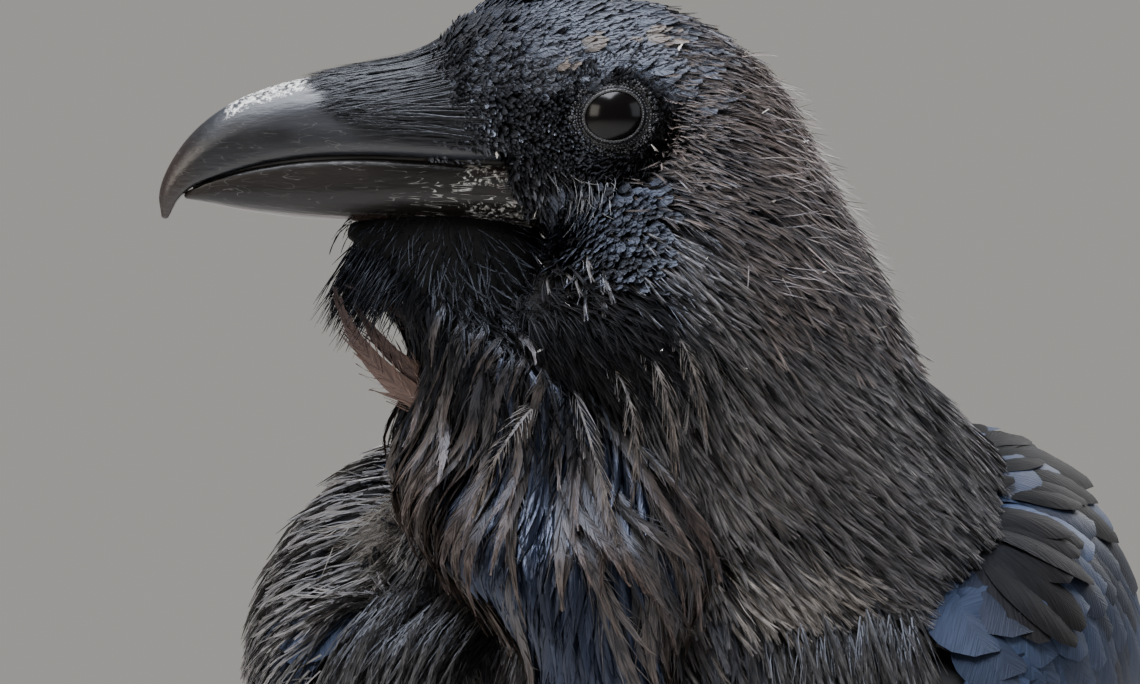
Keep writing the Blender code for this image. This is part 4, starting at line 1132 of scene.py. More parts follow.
def on_jaw(points):
    """Where the jaw's soft feathers grow: round a place 24 mm ahead of the pivot and 334 mm high."""
    ahead, high, _ = in_head(points)
    return spot((ahead - 24) / 18, (high - 334) / 14)


# Short open bristly feathers, the deepest black of the bird, with hardly any shine.
beard_black = plumage("chin bristles, black", "#020202", "#0a0a0b", "#171514", 0.3, 0.44, shine=0.12)
coat("chin_bristles", 2350, (0.0, 4.6), (0.5 * math.pi, 2.5 * math.pi),
     barbs(5, 4, 0.8, 0.13, 0.4, 31, 0.0, 0.5, 0.8), beard_black,
     lambda p: np.interp(p[..., 2], [325, 345, 353], [15, 11, 6]), 0.07, hackle_ways, on_chin, throat, -2.0,
     lambda p: 1.2 + 0.8 * waver(p, 6, 32), seed=73, lift=0.6, twist=0.6, sweep=0.9, stray=0.25, vary=0.25,
     tone=0.35, unwrap=on_throat)
# A sparse fringe of long bristles stands out forward and down below the bill.
FRINGE = 380
at, turn = spread(FRINGE, throat, (0.9, 3.2), (1.05 * math.pi, 1.95 * math.pi), on_fringe, 0.7)
root = throat(at, turn, -1.0)
outward = unit(throat(at, turn, 0.5) - root)
loose = np.random.default_rng(74)
way = unit(0.75 * AHEAD - UP + 0.55 * outward + 0.18 * loose.normal(size=(FRINGE, 3)))
share = np.linspace(0, 1, 8)[None, :, None]
bent = share * way[:, None] - 0.18 * share**2 * UP
curve = root[:, None] + loose.uniform(6, 15, (FRINGE, 1, 1)) * bent
facing = unit(outward[:, None] + 0 * curve)
feathers("chin_fringe", (curve, facing, unit(np.cross(unit(np.gradient(curve, axis=1)), facing))),
         leaf(8, 3, 0.6, 0.8, 0.2), np.full(FRINGE, 0.16), beard_black, "plumage", on_throat(at, turn),
         np.full(FRINGE, 0.2), 74, sweep=6.0)
# Soft hair-like feathers, black and matt, that fill the fold behind the chin; their black is partly painted
# shade in that fold.
jaw_black = plumage("jaw feathers, black and soft", "#050505", "#1f1f20", "#272627", 0.3, 0.58, barb_shade=0.7,
                    shine=0.08)
coat("jaw_hairs", 1450, (MID_NECK - 0.3, TEMPLE + 1.5), (-0.62 * math.pi, 1.62 * math.pi), hair, jaw_black,
     15.0, 0.11, head_ways, on_jaw, seed=77, lift=0.2, twist=0.4, sweep=0.7, stray=0.14, high=0.4,
     tone=lambda p: 0.5 + 0.4 * waver(p, 9, 63))


# ---------------------------------------------------------------- breast
# Broader plumes of the breast: a firm middle and free barbs at the edges, hanging over one another.
# Pale grey down shows between them where they part.
def on_breast(points):
    """Where the breast's plumes grow: below the neck, from the throat to both wings."""
    return (1 - smooth(points[..., 2], 286, 300)) * (points[..., 1] < 45)


def breast_ways(points, at):
    """Lie of the breast's plumes: down and back, wavering from lock to lock."""
    lock = 0.22 * waver(points, 34.0, 33) + 0.10 * waver(points, 12.0, 34)
    front = 1 - smooth(points[..., 1], -30, 20)
    return (backward(points, at) - 0.8 * front[..., None] * UP
            + (lock + 0.004 * points[..., 0])[..., None] * np.array([1.0, 0.0, 0.0]))


# Broad soft plumes, brown-black with some blue gloss on the firm part of each.
breast_plume = both(leaf(5, 3, 0.6, 0.3, 0.5, 0.4),
                    barbs(9, 4, 0.6, 0.085, 0.32, 35, 0.0, 0.55, 0.6, droop=0.3))
breast_soft = plumage("breast plumes, brown-black with a blue gloss", "#07080a", "#303136", "#48433f", 0.4,
                      0.36, slope=0.25, barb_shade=0.75, shine=0.6)
FRONT_HALF = (0.7 * math.pi, 2.3 * math.pi)
for k, (low, high, many) in enumerate(((BREAST + 0.3, NECK_ROOT + 0.2, 1060), (BELLY, BREAST + 0.3, 520))):
    coat(f"breast_plumes_{k + 1}", many, (low, high), FRONT_HALF, breast_plume, breast_soft, 23.0 + 3 * k,
         0.13, breast_ways, on_breast, seed=81 + k, lift=0.3, twist=0.4, sweep=0.35, stray=0.12, steps=7,
         tone=lambda p: 0.4 + 0.35 * waver(p, 24, 36), high=lambda p: waver(p, 13.0, 37))
# Fluffy down and the parted plumes over it: pale, dull and fine.
wisp = barbs(16, 4, 0.6, 0.016, 0.5, 39, 0.0, 0.6, 0.5, curl=0.25, droop=0.1)
down_grey = plumage("down, pale grey-brown", "#3b3937", "#6b6763", "#807b76", 0.5, 0.7, "#ffffff", barb_shade=0.2,
                    shine=0.2)
pale_soft = plumage("parted plumes, pale brown-grey", "#22201d", "#6f6963", "#7d7670", 0.4, 0.5, barb_shade=0.6,
                    shine=0.3)
coat("shoulder_down", 170, (BREAST, NECK_ROOT + 0.6), ALL_ROUND, wisp, down_grey, 14.0, 0.26, neck_ways,
     lambda p: pale_patch(p) * (p[..., 0] < 0), body, None, 1.8, seed=83, lift=0.5, twist=0.8, sweep=0.9,
     stray=0.4, vary=0.3)
coat("pale_plumes", 120, (BREAST, LOW_NECK), ALL_ROUND, plume, pale_soft, 16.0, 0.12, neck_ways,
     lambda p: pale_patch(p) * (p[..., 0] > -10), seed=84, lift=0.3, twist=0.3, sweep=0.6, high=1.2, tone=0.6)
# Flakes of dry white dust lie on the face, cheek and neck.
dust_white = plain("dust, white", "#c9c6c0", 0.9)
coat("dust_flakes", 60, (MID_NECK - 0.5, LORE), ALL_ROUND, leaf(3, 3, 0.5, 0.6, 0.5), dust_white, 0.6, 0.45,
     head_ways, None, seed=85, lift=0.5, twist=0.8, stray=0.9, high=1.2, vary=0.35)


# ---------------------------------------------------------------- back, belly and rump
# Firm glossy feathers roof the back from the neck to the tail. The belly, flanks and rump wear longer
# and looser ones. All are rooted in the skin and lap backwards.
def on_back(points):
    """Where the back's feathers grow: below the neck's plumes."""
    return 1 - smooth(points[..., 2] - 0.2 * points[..., 1], 296, 318)


def on_flank(points):
    """Where the flank's plumes grow: at both sides, in a band round the height of 225 mm."""
    high = points[..., 2]
    return spot((high - 225) / 28) * (np.abs(points[..., 0]) > 40) * (high < 255)


def thigh_ways(points, at):
    """Lie of the thigh's plumes: down and a little back."""
    return np.broadcast_to([0, 0.25, -1.0], points.shape)


# Firm broad feathers, blue-black, with the gloss of closed barbs.
back_feather = both(leaf(6, 3, 0.55, 0.3, 0.55, 0.85), barbs(6, 3, 0.3, 0.08, 0.3, 41, 0.4, 0.55, 0.55))
back_gloss = plumage("back feathers, glossy blue-black", "#07080b", "#1d2029", "#333338", 0.3, 0.45,
                     slope=0.6, barb_shade=0.4, shine=0.28)
# Loose soft plumes, brown-black and duller.
belly_plume = both(leaf(4, 3, 0.6, 0.3, 0.5, 0.45),
                   barbs(8, 3, 0.6, 0.10, 0.32, 43, 0.0, 0.55, 0.6, droop=0.3))
belly_soft = plumage("belly plumes, brown-black", "#080809", "#2f2e31", "#454140", 0.4, 0.40, slope=0.25,
                     barb_shade=0.7, shine=0.45)
UNDERSIDE = (0.95 * math.pi, 2.05 * math.pi)
coat("back_feathers", 1200, (0.35, NECK_ROOT + 0.4), TOP, back_feather, back_gloss,
     lambda p: 23.0 + 6 * smooth(p[..., 1], 40, 130), 0.21, backward, on_back, seed=91, lift=0.15, twist=0.2,
     stray=0.07, steps=7, tone=lambda p: 0.45 + 0.25 * waver(p, 40, 42), mottle=0.2)
coat("belly_plumes", 1020, (0.3, BELLY + 0.4), UNDERSIDE, belly_plume, belly_soft, 25.0, 0.15, breast_ways,
     None, seed=92, lift=0.3, twist=0.4, sweep=0.35, stray=0.12, steps=6,
     high=lambda p: waver(p, 15.0, 44), tone=lambda p: 0.4 + 0.3 * waver(p, 30, 45))
coat("flank_plumes", 700, (VENT, BREAST + 0.4), ALL_ROUND, belly_plume, belly_soft, 28.0, 0.15, breast_ways,
     on_flank, seed=93, lift=0.3, twist=0.4, sweep=0.35, steps=6, tone=0.4)
for side, sign in SIDES.items():
    coat(f"thigh_plumes_{side}", 500, (0.9, 5.8), ALL_ROUND, belly_plume, belly_soft,
         lambda p: np.interp(p[..., 2], [80, 120, 180], [9, 16, 24]), 0.15, thigh_ways, None, thigh(sign),
         -0.8 * THIGH_COAT, seed=94, lift=0.3, twist=0.4, sweep=0.3, steps=6, tone=0.35,
         unwrap=lambda at, turn: np.stack([0.5 * ((turn / (2 * np.pi)) % 1.0) + 0.25 * (1 - sign),
                                           0.88 + at / 50], -1))


# ---------------------------------------------------------------- wings
# Each folded wing: small round coverts over the shoulder, then longer ranks, then tertials and
# secondaries that roof the primaries, whose tips reach back along the tail. Each vane has its quill.
# Each row is x, y, z, pitch, reach above, reach below, half thickness, lean above and tuck below (degrees).
WING = np.array([
    (60, -64, 269, 40, 12, 12, 6, 10, 10), (66, -52, 272, 38, 31, 28, 14, 35, 15),
    (70, -30, 273, 36, 51, 42, 18, 54, 22), (71, -4, 263, 34, 61, 49, 19, 63, 25),
    (68, 35, 237, 31, 65, 48, 16, 68, 25), (59, 85, 207, 28, 66, 41, 11.5, 76, 24),
    (46, 135, 178, 26, 56, 30, 9, 82, 18), (35, 185, 153, 24, 43, 23, 6.5, 80, 8),
    (28, 235, 136, 22, 29, 16, 5, 68, 4), (25, 283, 123, 21, 17, 11, 3.6, 38, 1),
    (22.5, 322, 113.5, 21, 9, 7, 2.4, 12, 1), (21.5, 346, 107, 21, 3, 3, 1.2, 1, 1)])
NOSE = np.array([-1.0, -7.0, -1.0])


def wing(sign):
    """A wing's surface: a bowed lens across stations along it.

    The middle line bends inwards at an even rate to the row's lean above and its tuck below; the
    face lies the row's half thickness out from it on the outer side and 1.9 times that on the inner.
    Below place 0 the front closes in a round nose: every reach shrinks as sqrt(1 - at ** 2).
    """
    def surface(at, turn, off):
        """A point of this wing: out and rise in the row's own plane, by the formula above."""
        at, turn, off = np.broadcast_arrays(*[np.asarray(v, float) for v in (at, turn, off)])
        row = along(WING, at).copy()
        nose = np.clip(-at, 0, 0.995)
        row[..., 4:7] *= np.sqrt(1 - nose**2)[..., None]
        row[..., :3] += nose[..., None] * NOSE
        _, dorsal, left = axes_of(np.zeros_like(at), row[..., 3])
        c, s = np.cos(turn), np.sin(turn)
        bend = np.where(s >= 0, np.radians(row[..., 7]) / row[..., 4], np.radians(row[..., 8]) / row[..., 5])
        angle = bend * np.abs(s) * (np.where(s >= 0, row[..., 4], row[..., 5]) + off)
        thick = np.where(c >= 0, 1.0, 1.9) * c * row[..., 6] + off * c
        rise = np.sign(s) * np.sin(angle) * (1 / bend + thick)
        out = -(1 - np.cos(angle)) / bend + np.cos(angle) * thick
        return (row[..., :3] + out[..., None] * left + rise[..., None] * dorsal) * [sign, 1, 1]
    return surface


def tilted(template, tilt):
    """A template rolled about its shaft, so that like feathers side by side lap one another."""
    return template[0] + template[0][:, 1:2] * [0, 0, tilt], template[1]


def quilled(rows, columns, point, wide, quill=0.05):
    """A flight feather: a cambered vane with its quill as a thin raised strip from root to tip."""
    strip, quads = leaf(rows, 3, 0.3, 0.0, 0.4, quill)
    ridge = 0.03 + 0.7 * quill * (np.abs(strip[:, 1]) < 1e-6)
    raised = strip + np.stack([0 * ridge, 0 * ridge, ridge], -1)
    return both(leaf(rows, columns, point, 0.10, wide), (raised, quads))


def ranked(name, surface, root_at, tip_at, root_turn, tip_turn, width, template, material, unwrap, low=-1.2,
           high=0.0, steps=16, tone=0.45, seed=1, **more):
    """Feathers side by side, each from its own root to its own tip along straight lines in at and turn."""
    share = np.linspace(0, 1, steps)[None, :]
    ends = (root_at, tip_at, root_turn, tip_turn, low, high)
    root_at, tip_at, root_turn, tip_turn, low, high = [
        np.broadcast_to(np.asarray(v, float), (len(width),))[:, None] for v in ends]
    path_at, path_turn = root_at + (tip_at - root_at) * share, root_turn + (tip_turn - root_turn) * share
    shafts = shaft_on(surface, path_at, path_turn, low + (high - low) * share**0.5)
    shade = np.clip(tone + 0.15 * np.random.default_rng(seed).normal(size=len(width)), 0, 1)
    return feathers(name, shafts, template, width, material, "flight_plumage",
                    unwrap(root_at[:, 0], root_turn[:, 0]), shade, seed, **more)


def on_wing(at, turn):
    """The wing's own unwrap: turn across, place along the wing up."""
    return np.stack([(turn / (2 * np.pi)) % 1.0, np.clip(at / 11, 0, 1)], -1)


def covert_ways(points, at):
    """Lie of the small coverts: down over the bend of the wing, then backward."""
    front = 1 - smooth(points[..., 1], -50, 10)
    return np.array([0, 1.0, -0.55]) + front[..., None] * np.array([0, -0.35, -0.55])


def shoulder_ways(points, at):
    """Lie of the plumes over the bend of the wing: outward from the neck, then down and backward."""
    outer = np.sign(points[..., 0]) * (1 - smooth(np.abs(points[..., 0]), 60, 80))
    lock = 0.2 * waver(points, 20.0, 46)
    return (np.array([0, 0.35, -0.8]) + 0.7 * outer[..., None] * np.array([1.0, 0, 0])
            + lock[..., None] * np.array([0, 1.0, 0]))


def on_bend(points):
    """Where the neck's plumes reach over the bend of a wing: above and in front of a sloping line."""
    return 1 - smooth(points[..., 1] + (270 - points[..., 2]), -30, -16)


# Closed vanes with a blue gloss; it is kept low and broad, because a sharp one turns grey at a grazing view.
covert_gloss = plumage("wing coverts, glossy blue-black", "#0a0d14", "#2c364a", "#3a3d44", 0.25, 0.54,
                       "#a8b8e8", slope=0.8, barb_shade=0.4, shine=0.10)
flight_gloss = plumage("flight feathers, black with a violet gloss", "#060709", "#1a1f2c", "#2c2a2b", 0.3,
                       0.60, "#b8bce0", slope=0.8, barb_shade=0.3, shine=0.06)
# Broad feathers between back and wing, duller and browner than both.
scapular_soft = plumage("scapulars, brown-black", "#050505", "#161618", "#252220", 0.3, 0.62, slope=0.4,
                        barb_shade=0.6, shine=0.04)
# Soft open plumes: pale grey as painted light where the light falls on them, and darker as painted shade at
# the bend itself.
shoulder_soft = plumage("shoulder plumes, soft grey-black", "#131314", "#716e6c", "#817c78", 0.4, 0.5,
                        slope=0.2, barb_shade=0.6, shine=0.3)
shoulder_dark = plumage("plumes at the bend of the wing, brown-black", "#080808", "#3f3d3c", "#4c4946", 0.4,
                        0.45, slope=0.15, barb_shade=0.7, shine=0.3)
# Skin and down inside the folded wing, dark and matt.
wing_inside = plain("wing underside, dark", "#0a0a0c", 0.7, Specular_IOR_Level=0.2)
PRIMARIES, SECONDARIES, PRIMARY_COVERTS, GREATER_COVERTS, MEDIAN_COVERTS, FALL = 10, 13, 9, 15, 17, 120
for side, sign in SIDES.items():
    surface = wing(sign)
    at = stations(0.7, 11, 120)
    thin = np.minimum(3.0, 0.75 * along(WING, at)[..., 6])
    core = tube(surface(at, turns(48), -thin))
    closed_piece(f"wing_core_{side}", core, wing_inside, "flight_plumage", inward=sign < 0,
                 replaces=[f"wing_{side}_{part}" for part in ("coverts", "secondaries", "primaries")])
    # Ranks of quilled feathers, each counted by k from the top edge of the folded wing down.
    k = np.arange(PRIMARIES)
    ranked(f"primaries_{side}", surface, 5.0, 8.4 + 0.285 * k, (-0.10 - 0.026 * k) * math.pi,
           (0.40 - 0.07 * k) * math.pi, np.full(PRIMARIES, 8.5),
           tilted(quilled(22, 7, 0.32, 0.5), 0.10 * sign), flight_gloss, on_wing, -2.0, -0.5 - 0.02 * k, 22,
           seed=101)
    k = np.arange(SECONDARIES)
    ranked(f"secondaries_{side}", surface, 3.5, 5.9 + 0.165 * k, (0.46 - 0.066 * k) * math.pi,
           (0.44 - 0.062 * k) * math.pi, np.interp(k, [0, 3, 12], [12, 13, 10]),
           tilted(quilled(18, 7, 0.30, 0.55), 0.09 * sign), flight_gloss, on_wing, -2.0, 0.1, 18, seed=102)
    k = np.arange(PRIMARY_COVERTS)
    ranked(f"primary_coverts_{side}", surface, 3.4, 5.6 + 0.05 * k, (-0.20 - 0.03 * k) * math.pi,
           (-0.10 - 0.035 * k) * math.pi, np.full(PRIMARY_COVERTS, 6.5),
           tilted(quilled(12, 5, 0.35, 0.55), 0.10 * sign), flight_gloss, on_wing, -1.5, 0.3, 12, seed=103)
    k = np.arange(GREATER_COVERTS)
    ranked(f"greater_coverts_{side}", surface, 2.9, 4.45 + 0.02 * k, (0.47 - 0.058 * k) * math.pi,
           (0.46 - 0.060 * k) * math.pi, np.full(GREATER_COVERTS, 8.8),
           tilted(quilled(12, 7, 0.34, 0.55), 0.09 * sign), flight_gloss, on_wing, -1.5, 0.7, 12, seed=104)
    k = np.arange(MEDIAN_COVERTS)
    ranked(f"median_coverts_{side}", surface, 2.25, 3.42 + 0.06 * np.sin(k * 1.3),
           (0.48 - 0.052 * k) * math.pi, (0.475 - 0.054 * k) * math.pi, np.full(MEDIAN_COVERTS, 7.4),
           tilted(quilled(10, 7, 0.40, 0.6), 0.08 * sign), covert_gloss, on_wing, -1.5, 1.1, 10, seed=105)
    coat(f"lesser_coverts_{side}", 170, (-0.2, 2.55), (-0.48 * math.pi, 0.46 * math.pi),
         leaf(9, 7, 0.40, 0.28, 0.62), covert_gloss, lambda p: np.interp(p[..., 1], [-60, 0], [19, 26]), 0.40,
         covert_ways, None, surface, -0.8, 0.6, seed=106, lift=0.03, twist=0.05, stray=0.05, vary=0.1,
         tone=0.5, mottle=0.45, slot="flight_plumage", unwrap=on_wing)
    coat(f"scapulars_{side}", 260, (0.6, 5.2), (0.30 * math.pi, 0.52 * math.pi),
         leaf(10, 7, 0.5, 0.24, 0.6), scapular_soft, lambda p: np.interp(p[..., 1], [-40, 60], [22, 32]),
         0.24, covert_ways, None, surface, -1.0, 1.2, seed=107, lift=0.08, twist=0.1, stray=0.06, tone=0.45,
         slot="flight_plumage", unwrap=on_wing)
    # A fall of the breast's plumes hangs over the front of the bend.
    loose = np.random.default_rng(109)
    aside, down = loose.uniform(30, 58, FALL), loose.uniform(0, 14, FALL)
    back = 0.5 * np.maximum(aside - 42, 0)
    bends = np.stack([np.stack([aside - 6, -50 + 0 * aside, 284 - down], -1),
                      np.stack([aside + 1, -84 + back, 280 - down], -1),
                      np.stack([aside + 7, -80 + back, 258 - down], -1)], 1)
    bends = (bends + 1.6 * loose.normal(size=bends.shape)) * [sign, 1, 1]
    feathers(f"shoulder_fall_{side}", arc(bends, np.array([0.3 * sign, -1.0, 0.4]), 9), plume,
             np.full(FALL, 3.0), shoulder_dark, "plumage", on_wing(0.3 + 0 * aside, aside / 25),
             np.full(FALL, 0.5), 110, lift=0.2, twist=0.3, sweep=0.6)
# The neck's plumes reach over the bend of the right wing, which the turned head leaves open.
coat("shoulder_plumes_right", 820, (-0.5, 2.2), ALL_ROUND, plume, shoulder_soft, 21.0, 0.17, shoulder_ways,
     on_bend, wing(SIDES["right"]), -0.8, 1.5, seed=108, lift=0.25, twist=0.3, sweep=0.4, stray=0.12,
     tone=0.4, unwrap=on_wing)


# ---------------------------------------------------------------- tail
# Twelve long feathers lie closed over each other, the middle pair on top and longest, so that the
# tail ends in a wedge. Softer coverts lap its root above and below.
TAIL_ROOT_Y, TAIL_ROOT_Z, TAIL_LENGTH, TAIL_SLOPE = 158.0, 166.0, 237.0, 21.5
TAIL_BASE = np.array([(0, 150, 166, 0, 24, 17, 12, 12, 0), (0, 190, 149, 0, 22, 17, 7, 9, 0),
                      (0, 240, 128, 0, 22, 17, 2.5, 4, 0), (0, 275, 114, 0, 22, 12, 0.8, 1.2, 0)], float)


def tail(at, across, off):
    """The tail's upper sheet: at is the share of its length backward, across of its half width sideways.

    The middle stands 3 mm up and the edges lie 5.5 mm below it, by the square of across.
    """
    at, across, off = np.broadcast_arrays(*[np.asarray(v, float) for v in (at, across, off)])
    c, s = math.cos(math.radians(TAIL_SLOPE)), math.sin(math.radians(TAIL_SLOPE))
    back, up = np.array([0, c, -s]), np.array([0, s, c])
    length = TAIL_LENGTH * (1 - 0.16 * np.abs(across) ** 1.7)
    reach = length * at + 14 * (1 - at)
    half = 15 + 19 * np.clip(at, 0, 1) ** 0.9
    return (np.array([0, TAIL_ROOT_Y, TAIL_ROOT_Z]) + reach[..., None] * back
            + (across * half)[..., None] * [1, 0, 0] + (3 - 5.5 * across**2 + off)[..., None] * up)


def on_tail(at, across):
    """The tail's own unwrap: side to side across, root to tip up."""
    return np.stack([0.5 + 0.45 * across, np.clip(at, 0, 1)], -1)


def tail_base(at, turn, off):
    """The fleshy root of the tail and the pack of quills under its coverts: the loft through TAIL_BASE."""
    return loft(TAIL_BASE, at, turn, off)


rectrix = quilled(24, 7, 0.28, 0.6)
PAIRS = 6
for side, sign in SIDES.items():
    k = np.arange(PAIRS)
    ranked(f"tail_feathers_{side}", tail, -0.05, 1.0 - 0.004 * k, sign * (0.04 + 0.07 * k),
           sign * (0.09 + 0.148 * k), np.full(PAIRS, 11.0), tilted(rectrix, 0.05 * sign), flight_gloss,
           on_tail, 0.2 - 0.5 * k, -0.15 - 0.22 * k, 18, seed=111,
           replaces=("tail",) if side == "left" else ())
base = tube(tail_base(stations(0, 3, 30), turns(40), -0.7))
closed_piece("tail_core", base, skin_hide, "flight_plumage", inward=True)
coat("tail_coverts_below", 360, (0, 2.3), UNDERSIDE, belly_plume, belly_soft, 34.0, 0.14,
     lambda p, at: np.broadcast_to([0, 1.0, -0.42], p.shape), None, tail_base, -0.6, 0.2, seed=112, lift=0.2,
     twist=0.3, sweep=0.3, steps=6, tone=0.35, slot="flight_plumage",
     unwrap=lambda at, turn: np.stack([turn / 6.3 % 1, at / 3], -1))
coat("tail_coverts_above", 150, (0, 0.28), (-0.95, 0.95), back_feather, back_gloss, 40.0, 0.17,
     lambda p, at: np.broadcast_to([0, 1.0, -0.39], p.shape), None, tail, -0.5, 1.6, seed=113, lift=0.1,
     twist=0.15, stray=0.05, steps=7, tone=0.45, slot="flight_plumage", unwrap=on_tail)


# ---------------------------------------------------------------- legs and feet
# Bare black shanks and toes: a row of broad plates down the front of the shank and over each toe,
# fine grains on the sides and padded soles. A curved black claw ends each toe.
ANKLE, FOOT_X, FOOT_Y, FOOT_Z = np.array([38.0, 42.0, 80.0]), 37.0, 17.0, 5.4
KNUCKLE, LIMB_AROUND, CLAW_BEND = 6.2, 28, math.radians(66)
# Each toe: how far it turns outward (degrees), its length, half thickness at the root and claw's length.
TOES = {"2": (-27.0, 37.0, 4.3, 15.0), "3": (-1.0, 50.0, 4.4, 16.0), "4": (27.0, 41.0, 4.1, 13.5),
        "1": (174.0, 29.0, 4.5, 19.0)}


def scaly(name, colour, grain):
    """Horny skin: near black, broken into fine grains, slightly greasy; grain is how many fit in a metre."""
    made = plain(name, colour, 0.42, Specular_IOR_Level=0.5)
    place = add(made, "ShaderNodeTexCoord").outputs["Object"]
    cells = add(made, "ShaderNodeTexVoronoi", {"Vector": place, "Scale": grain})
    bump = add(made, "ShaderNodeBump", {"Height": cells.outputs["Distance"], "Strength": 0.6,
                                        "Distance": 0.0004}, invert=True)
    return wire(made, Normal=bump.outputs[0])


# Dry scaly skin, near black, in grains 1.3 mm wide; then smooth keratin, black and shinier.
leg_skin = scaly("leg scales, black", "#1a1a1b", 750.0)
claw_horn = plain("claw horn, black", "#151516", 0.28, Specular_IOR_Level=0.6)


def plates(share, turn, count, height):
    """Overlapping plates along the front of a limb: each rises to its lower edge, then drops to the next."""
    return height * ((share * count) % 1.0) ** 1.5 * smooth(np.sin(turn), 0.05, 0.6)


def on_ground(points):
    """Points of a foot, with what would lie below the ground pressed flat on it."""
    return np.maximum(points, [-1e9, -1e9, 0.0])


def swell(share, joints):
    """0 at the ends of a toe's bones and 1 at their middles: 0.5 - 0.5 cos(2 pi joints share)."""
    return 0.5 - 0.5 * np.cos(2 * np.pi * joints * share)


foot = np.array([FOOT_X, FOOT_Y, FOOT_Z + 2.0])
lean = math.degrees(math.atan2(ANKLE[2] - foot[2], ANKLE[1] - foot[1]))
# Share of the way from ankle to foot, half width and half depth of the shank there.
GIRTHS = ((-0.04, 4.8, 5.6), (0.04, 5.5, 6.5), (0.17, 4.0, 5.0), (0.5, 3.1, 4.2), (0.8, 3.5, 4.2),
          (0.92, 4.9, 4.9), (1.0, 5.2, 4.6))
SHANK = np.array([(*(ANKLE + (foot - ANKLE) * share), 0, -lean, half, deep, deep, 0)
                  for share, half, deep in GIRTHS])
turn = turns(LIMB_AROUND)
for side, sign in SIDES.items():
    raised = plates(stations(0, 1, 120), turn, 10, 0.45) - 0.25
    shank = tube(loft(SHANK, stations(0, 6, 120), turn, raised) * [sign, 1, 1])
    closed_piece(f"shank_{side}", shank, leg_skin, "leg_scale", inward=sign < 0, replaces=(f"tarsus_{side}",))
    tilt = stations(0.01, np.pi - 0.01, 25)
    knuckle = np.stack(np.broadcast_arrays(KNUCKLE * np.sin(tilt) * np.cos(turn) + sign * FOOT_X,
                                           KNUCKLE * np.sin(tilt) * np.sin(turn) + FOOT_Y,
                                           FOOT_Z - KNUCKLE * np.cos(tilt)), -1)
    bodies = [on_ground(knuckle)]
    for number, (outward, length, girth, talon) in TOES.items():
        yaw = -sign * outward
        forward = axes_of(np.array(yaw), np.array(0.0))[0]
        joints = 3 if number != "1" else 2
        share = np.linspace(0.0, 1.0, 33)
        size = girth * (1.0 - 0.22 * share) * (0.86 + 0.16 * swell(share, joints))
        rise = size * (0.93 - 0.06 * swell(share, joints)) + 1.5 * (1 - share) ** 3
        rows = np.stack([sign * FOOT_X + forward[0] * length * share, FOOT_Y + forward[1] * length * share,
                         rise, yaw + 0 * share, 0 * share, size * 0.92, size, size, 0 * share], -1)
        at = stations(0, 32, 100)
        bodies.append(on_ground(tube(loft(rows, at, turn, plates(at / 32, turn, 4 * joints, 0.40) - 0.2))))
        # The claw leaves the toe's end level and comes down to the ground in an arc.
        share = np.linspace(0, 1, 24)
        reach = talon / CLAW_BEND * np.sin(CLAW_BEND * share)
        x, y = (rows[-1, :2] + forward[:2] * 0.1)[:, None] + forward[:2, None] * reach
        high = rows[-1, 2] * (1 - share) + 1.6 * np.sin(np.pi * share) + 0.45 * share
        size = girth * 0.62 * (1 - share) ** 0.8 + 0.30
        rows = np.stack([x, y, high, yaw + 0 * share, -math.degrees(CLAW_BEND) * 0.75 * share, size * 0.72,
                         size, size * 0.9, 0 * share], -1)
        claw = on_ground(tube(loft(rows, stations(0, 23, 40), turn[:, ::2], 0.0)))
        closed_piece(f"claw_{side}_{number}_horn", claw, claw_horn, "horn",
                     replaces=(f"claw_{side}_{number}",))
    # The knuckle and the four toes are one skin; each has its own strip of the unwrap.
    starts = np.cumsum([0] + [part[..., 0].size for part in bodies[:-1]])
    quads = np.concatenate([grid_quads(len(part), LIMB_AROUND, closed=True).reshape(-1, 4) + start
                            for part, start in zip(bodies, starts)])
    spots = np.concatenate([unrolled(LIMB_AROUND, len(part), place=(0.2 * k, 0.2 * k + 0.19)).reshape(-1, 2)
                            for k, part in enumerate(bodies)])
    piece(f"foot_{side}_skin", np.concatenate([part.reshape(-1, 3) for part in bodies]), quads, leg_skin,
          "leg_scale", unwrap=spots, replaces=(f"foot_{side}",))


# ---------------------------------------------------------------- studio
# A plain pale floor under the bird, a wide soft light above, weaker ones at both sides, and a long
# lens at the height of the bird's eye, to the left of the way its body faces.
VIEW, AWAY, FRAME_WIDTH, SENSOR, FLOOR_HALF = 15.0, 1350.0, 228.0, 36.0, 4.5


def aim(way):
    """Rotation that points a camera or a light along a direction, with its top up."""
    return mathutils.Vector(way).to_track_quat("-Z", "Y").to_euler()


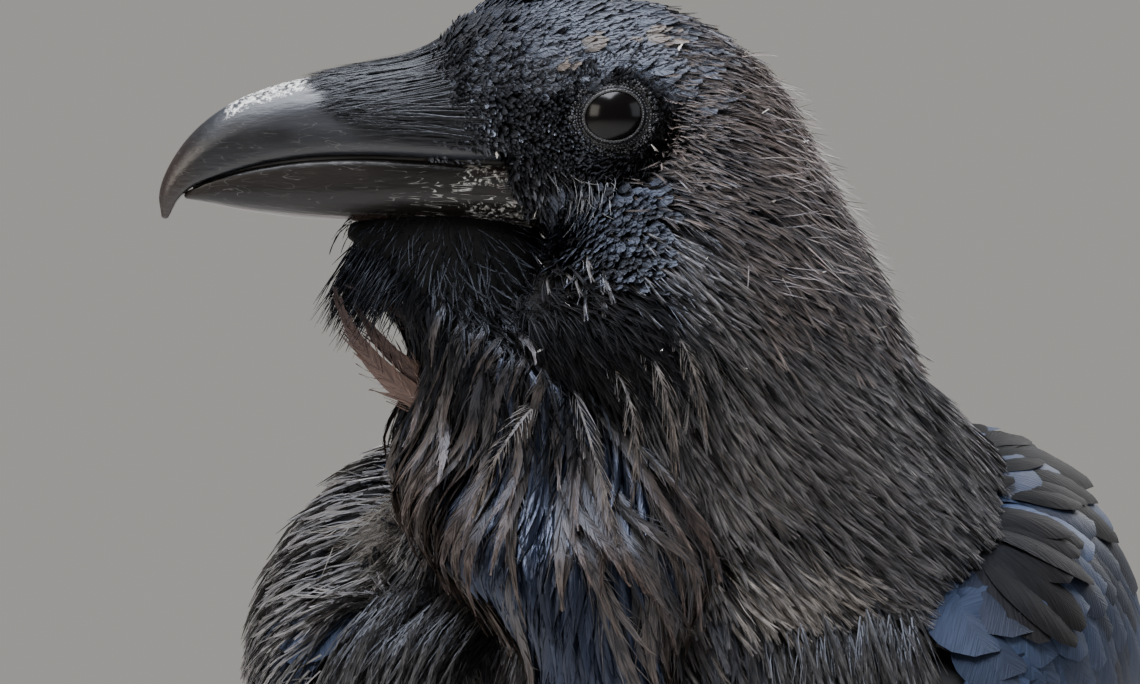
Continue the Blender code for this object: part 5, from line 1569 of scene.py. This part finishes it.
def placed(name, data, place, way):
    """An object of the studio at a place in mm in the bird's axes, pointed along a direction."""
    made = bpy.data.objects.new(name, data)
    bpy.context.scene.collection.objects.link(made)
    made.location = (np.array(place) + HERE) * MM
    made.rotation_euler = aim(way)
    return made


def lamp(name, place, target, size, power, colour):
    """A square area light of a size in mm at a place, aimed at a target."""
    light = bpy.data.lights.new(name, "AREA")
    light.shape, light.size, light.energy, light.color = "SQUARE", size * MM, power, linear(colour)[:3]
    return placed(name, light, place, target - place)


# Matt painted board, a warm near-white.
floor_board = plain("studio floor, pale warm grey", "#ece8e2", 0.9)
floor_mesh = bpy.data.meshes.new("floor")
floor_mesh.from_pydata([(-FLOOR_HALF, -FLOOR_HALF, 0), (FLOOR_HALF, -FLOOR_HALF, 0),
                        (FLOOR_HALF, FLOOR_HALF, 0), (-FLOOR_HALF, FLOOR_HALF, 0)], [], [(0, 1, 2, 3)])
floor_mesh.materials.append(floor_board)
floor = bpy.data.objects.new("floor", floor_mesh)
bpy.context.scene.collection.objects.link(floor)

toward = np.array([math.sin(math.radians(VIEW)), -math.cos(math.radians(VIEW)), 0.0])
right = np.array([math.cos(math.radians(VIEW)), math.sin(math.radians(VIEW)), 0.0])
aimed = EYE[1] - right * 8.8 - UP * 45.0
lamp("top_light", aimed + UP * 1300 + toward * 250 - right * 250, aimed, 1000, 92, "#f2f6ff")
lamp("left_light", aimed + toward * 900 - right * 1400 + UP * 500, aimed, 800, 18, "#fff6ea")
lamp("right_light", aimed + toward * 600 + right * 1400 + UP * 500, aimed, 900, 8, "#eef3ff")
lamp("back_light", aimed - toward * 900 + right * 700 + UP * 800, aimed, 800, 24, "#ffffff")
world = bpy.data.worlds.new("studio")
world.use_nodes = True
world.node_tree.nodes["Background"].inputs["Color"].default_value = linear("#d6d3ce")
world.node_tree.nodes["Background"].inputs["Strength"].default_value = 0.52
bpy.context.scene.world = world

camera = bpy.data.cameras.new("camera")
camera.sensor_width, camera.lens = SENSOR, SENSOR * AWAY / FRAME_WIDTH
camera.clip_start, camera.clip_end = 0.05, 50.0
bpy.context.scene.camera = placed("camera", camera, aimed + toward * AWAY, -toward)
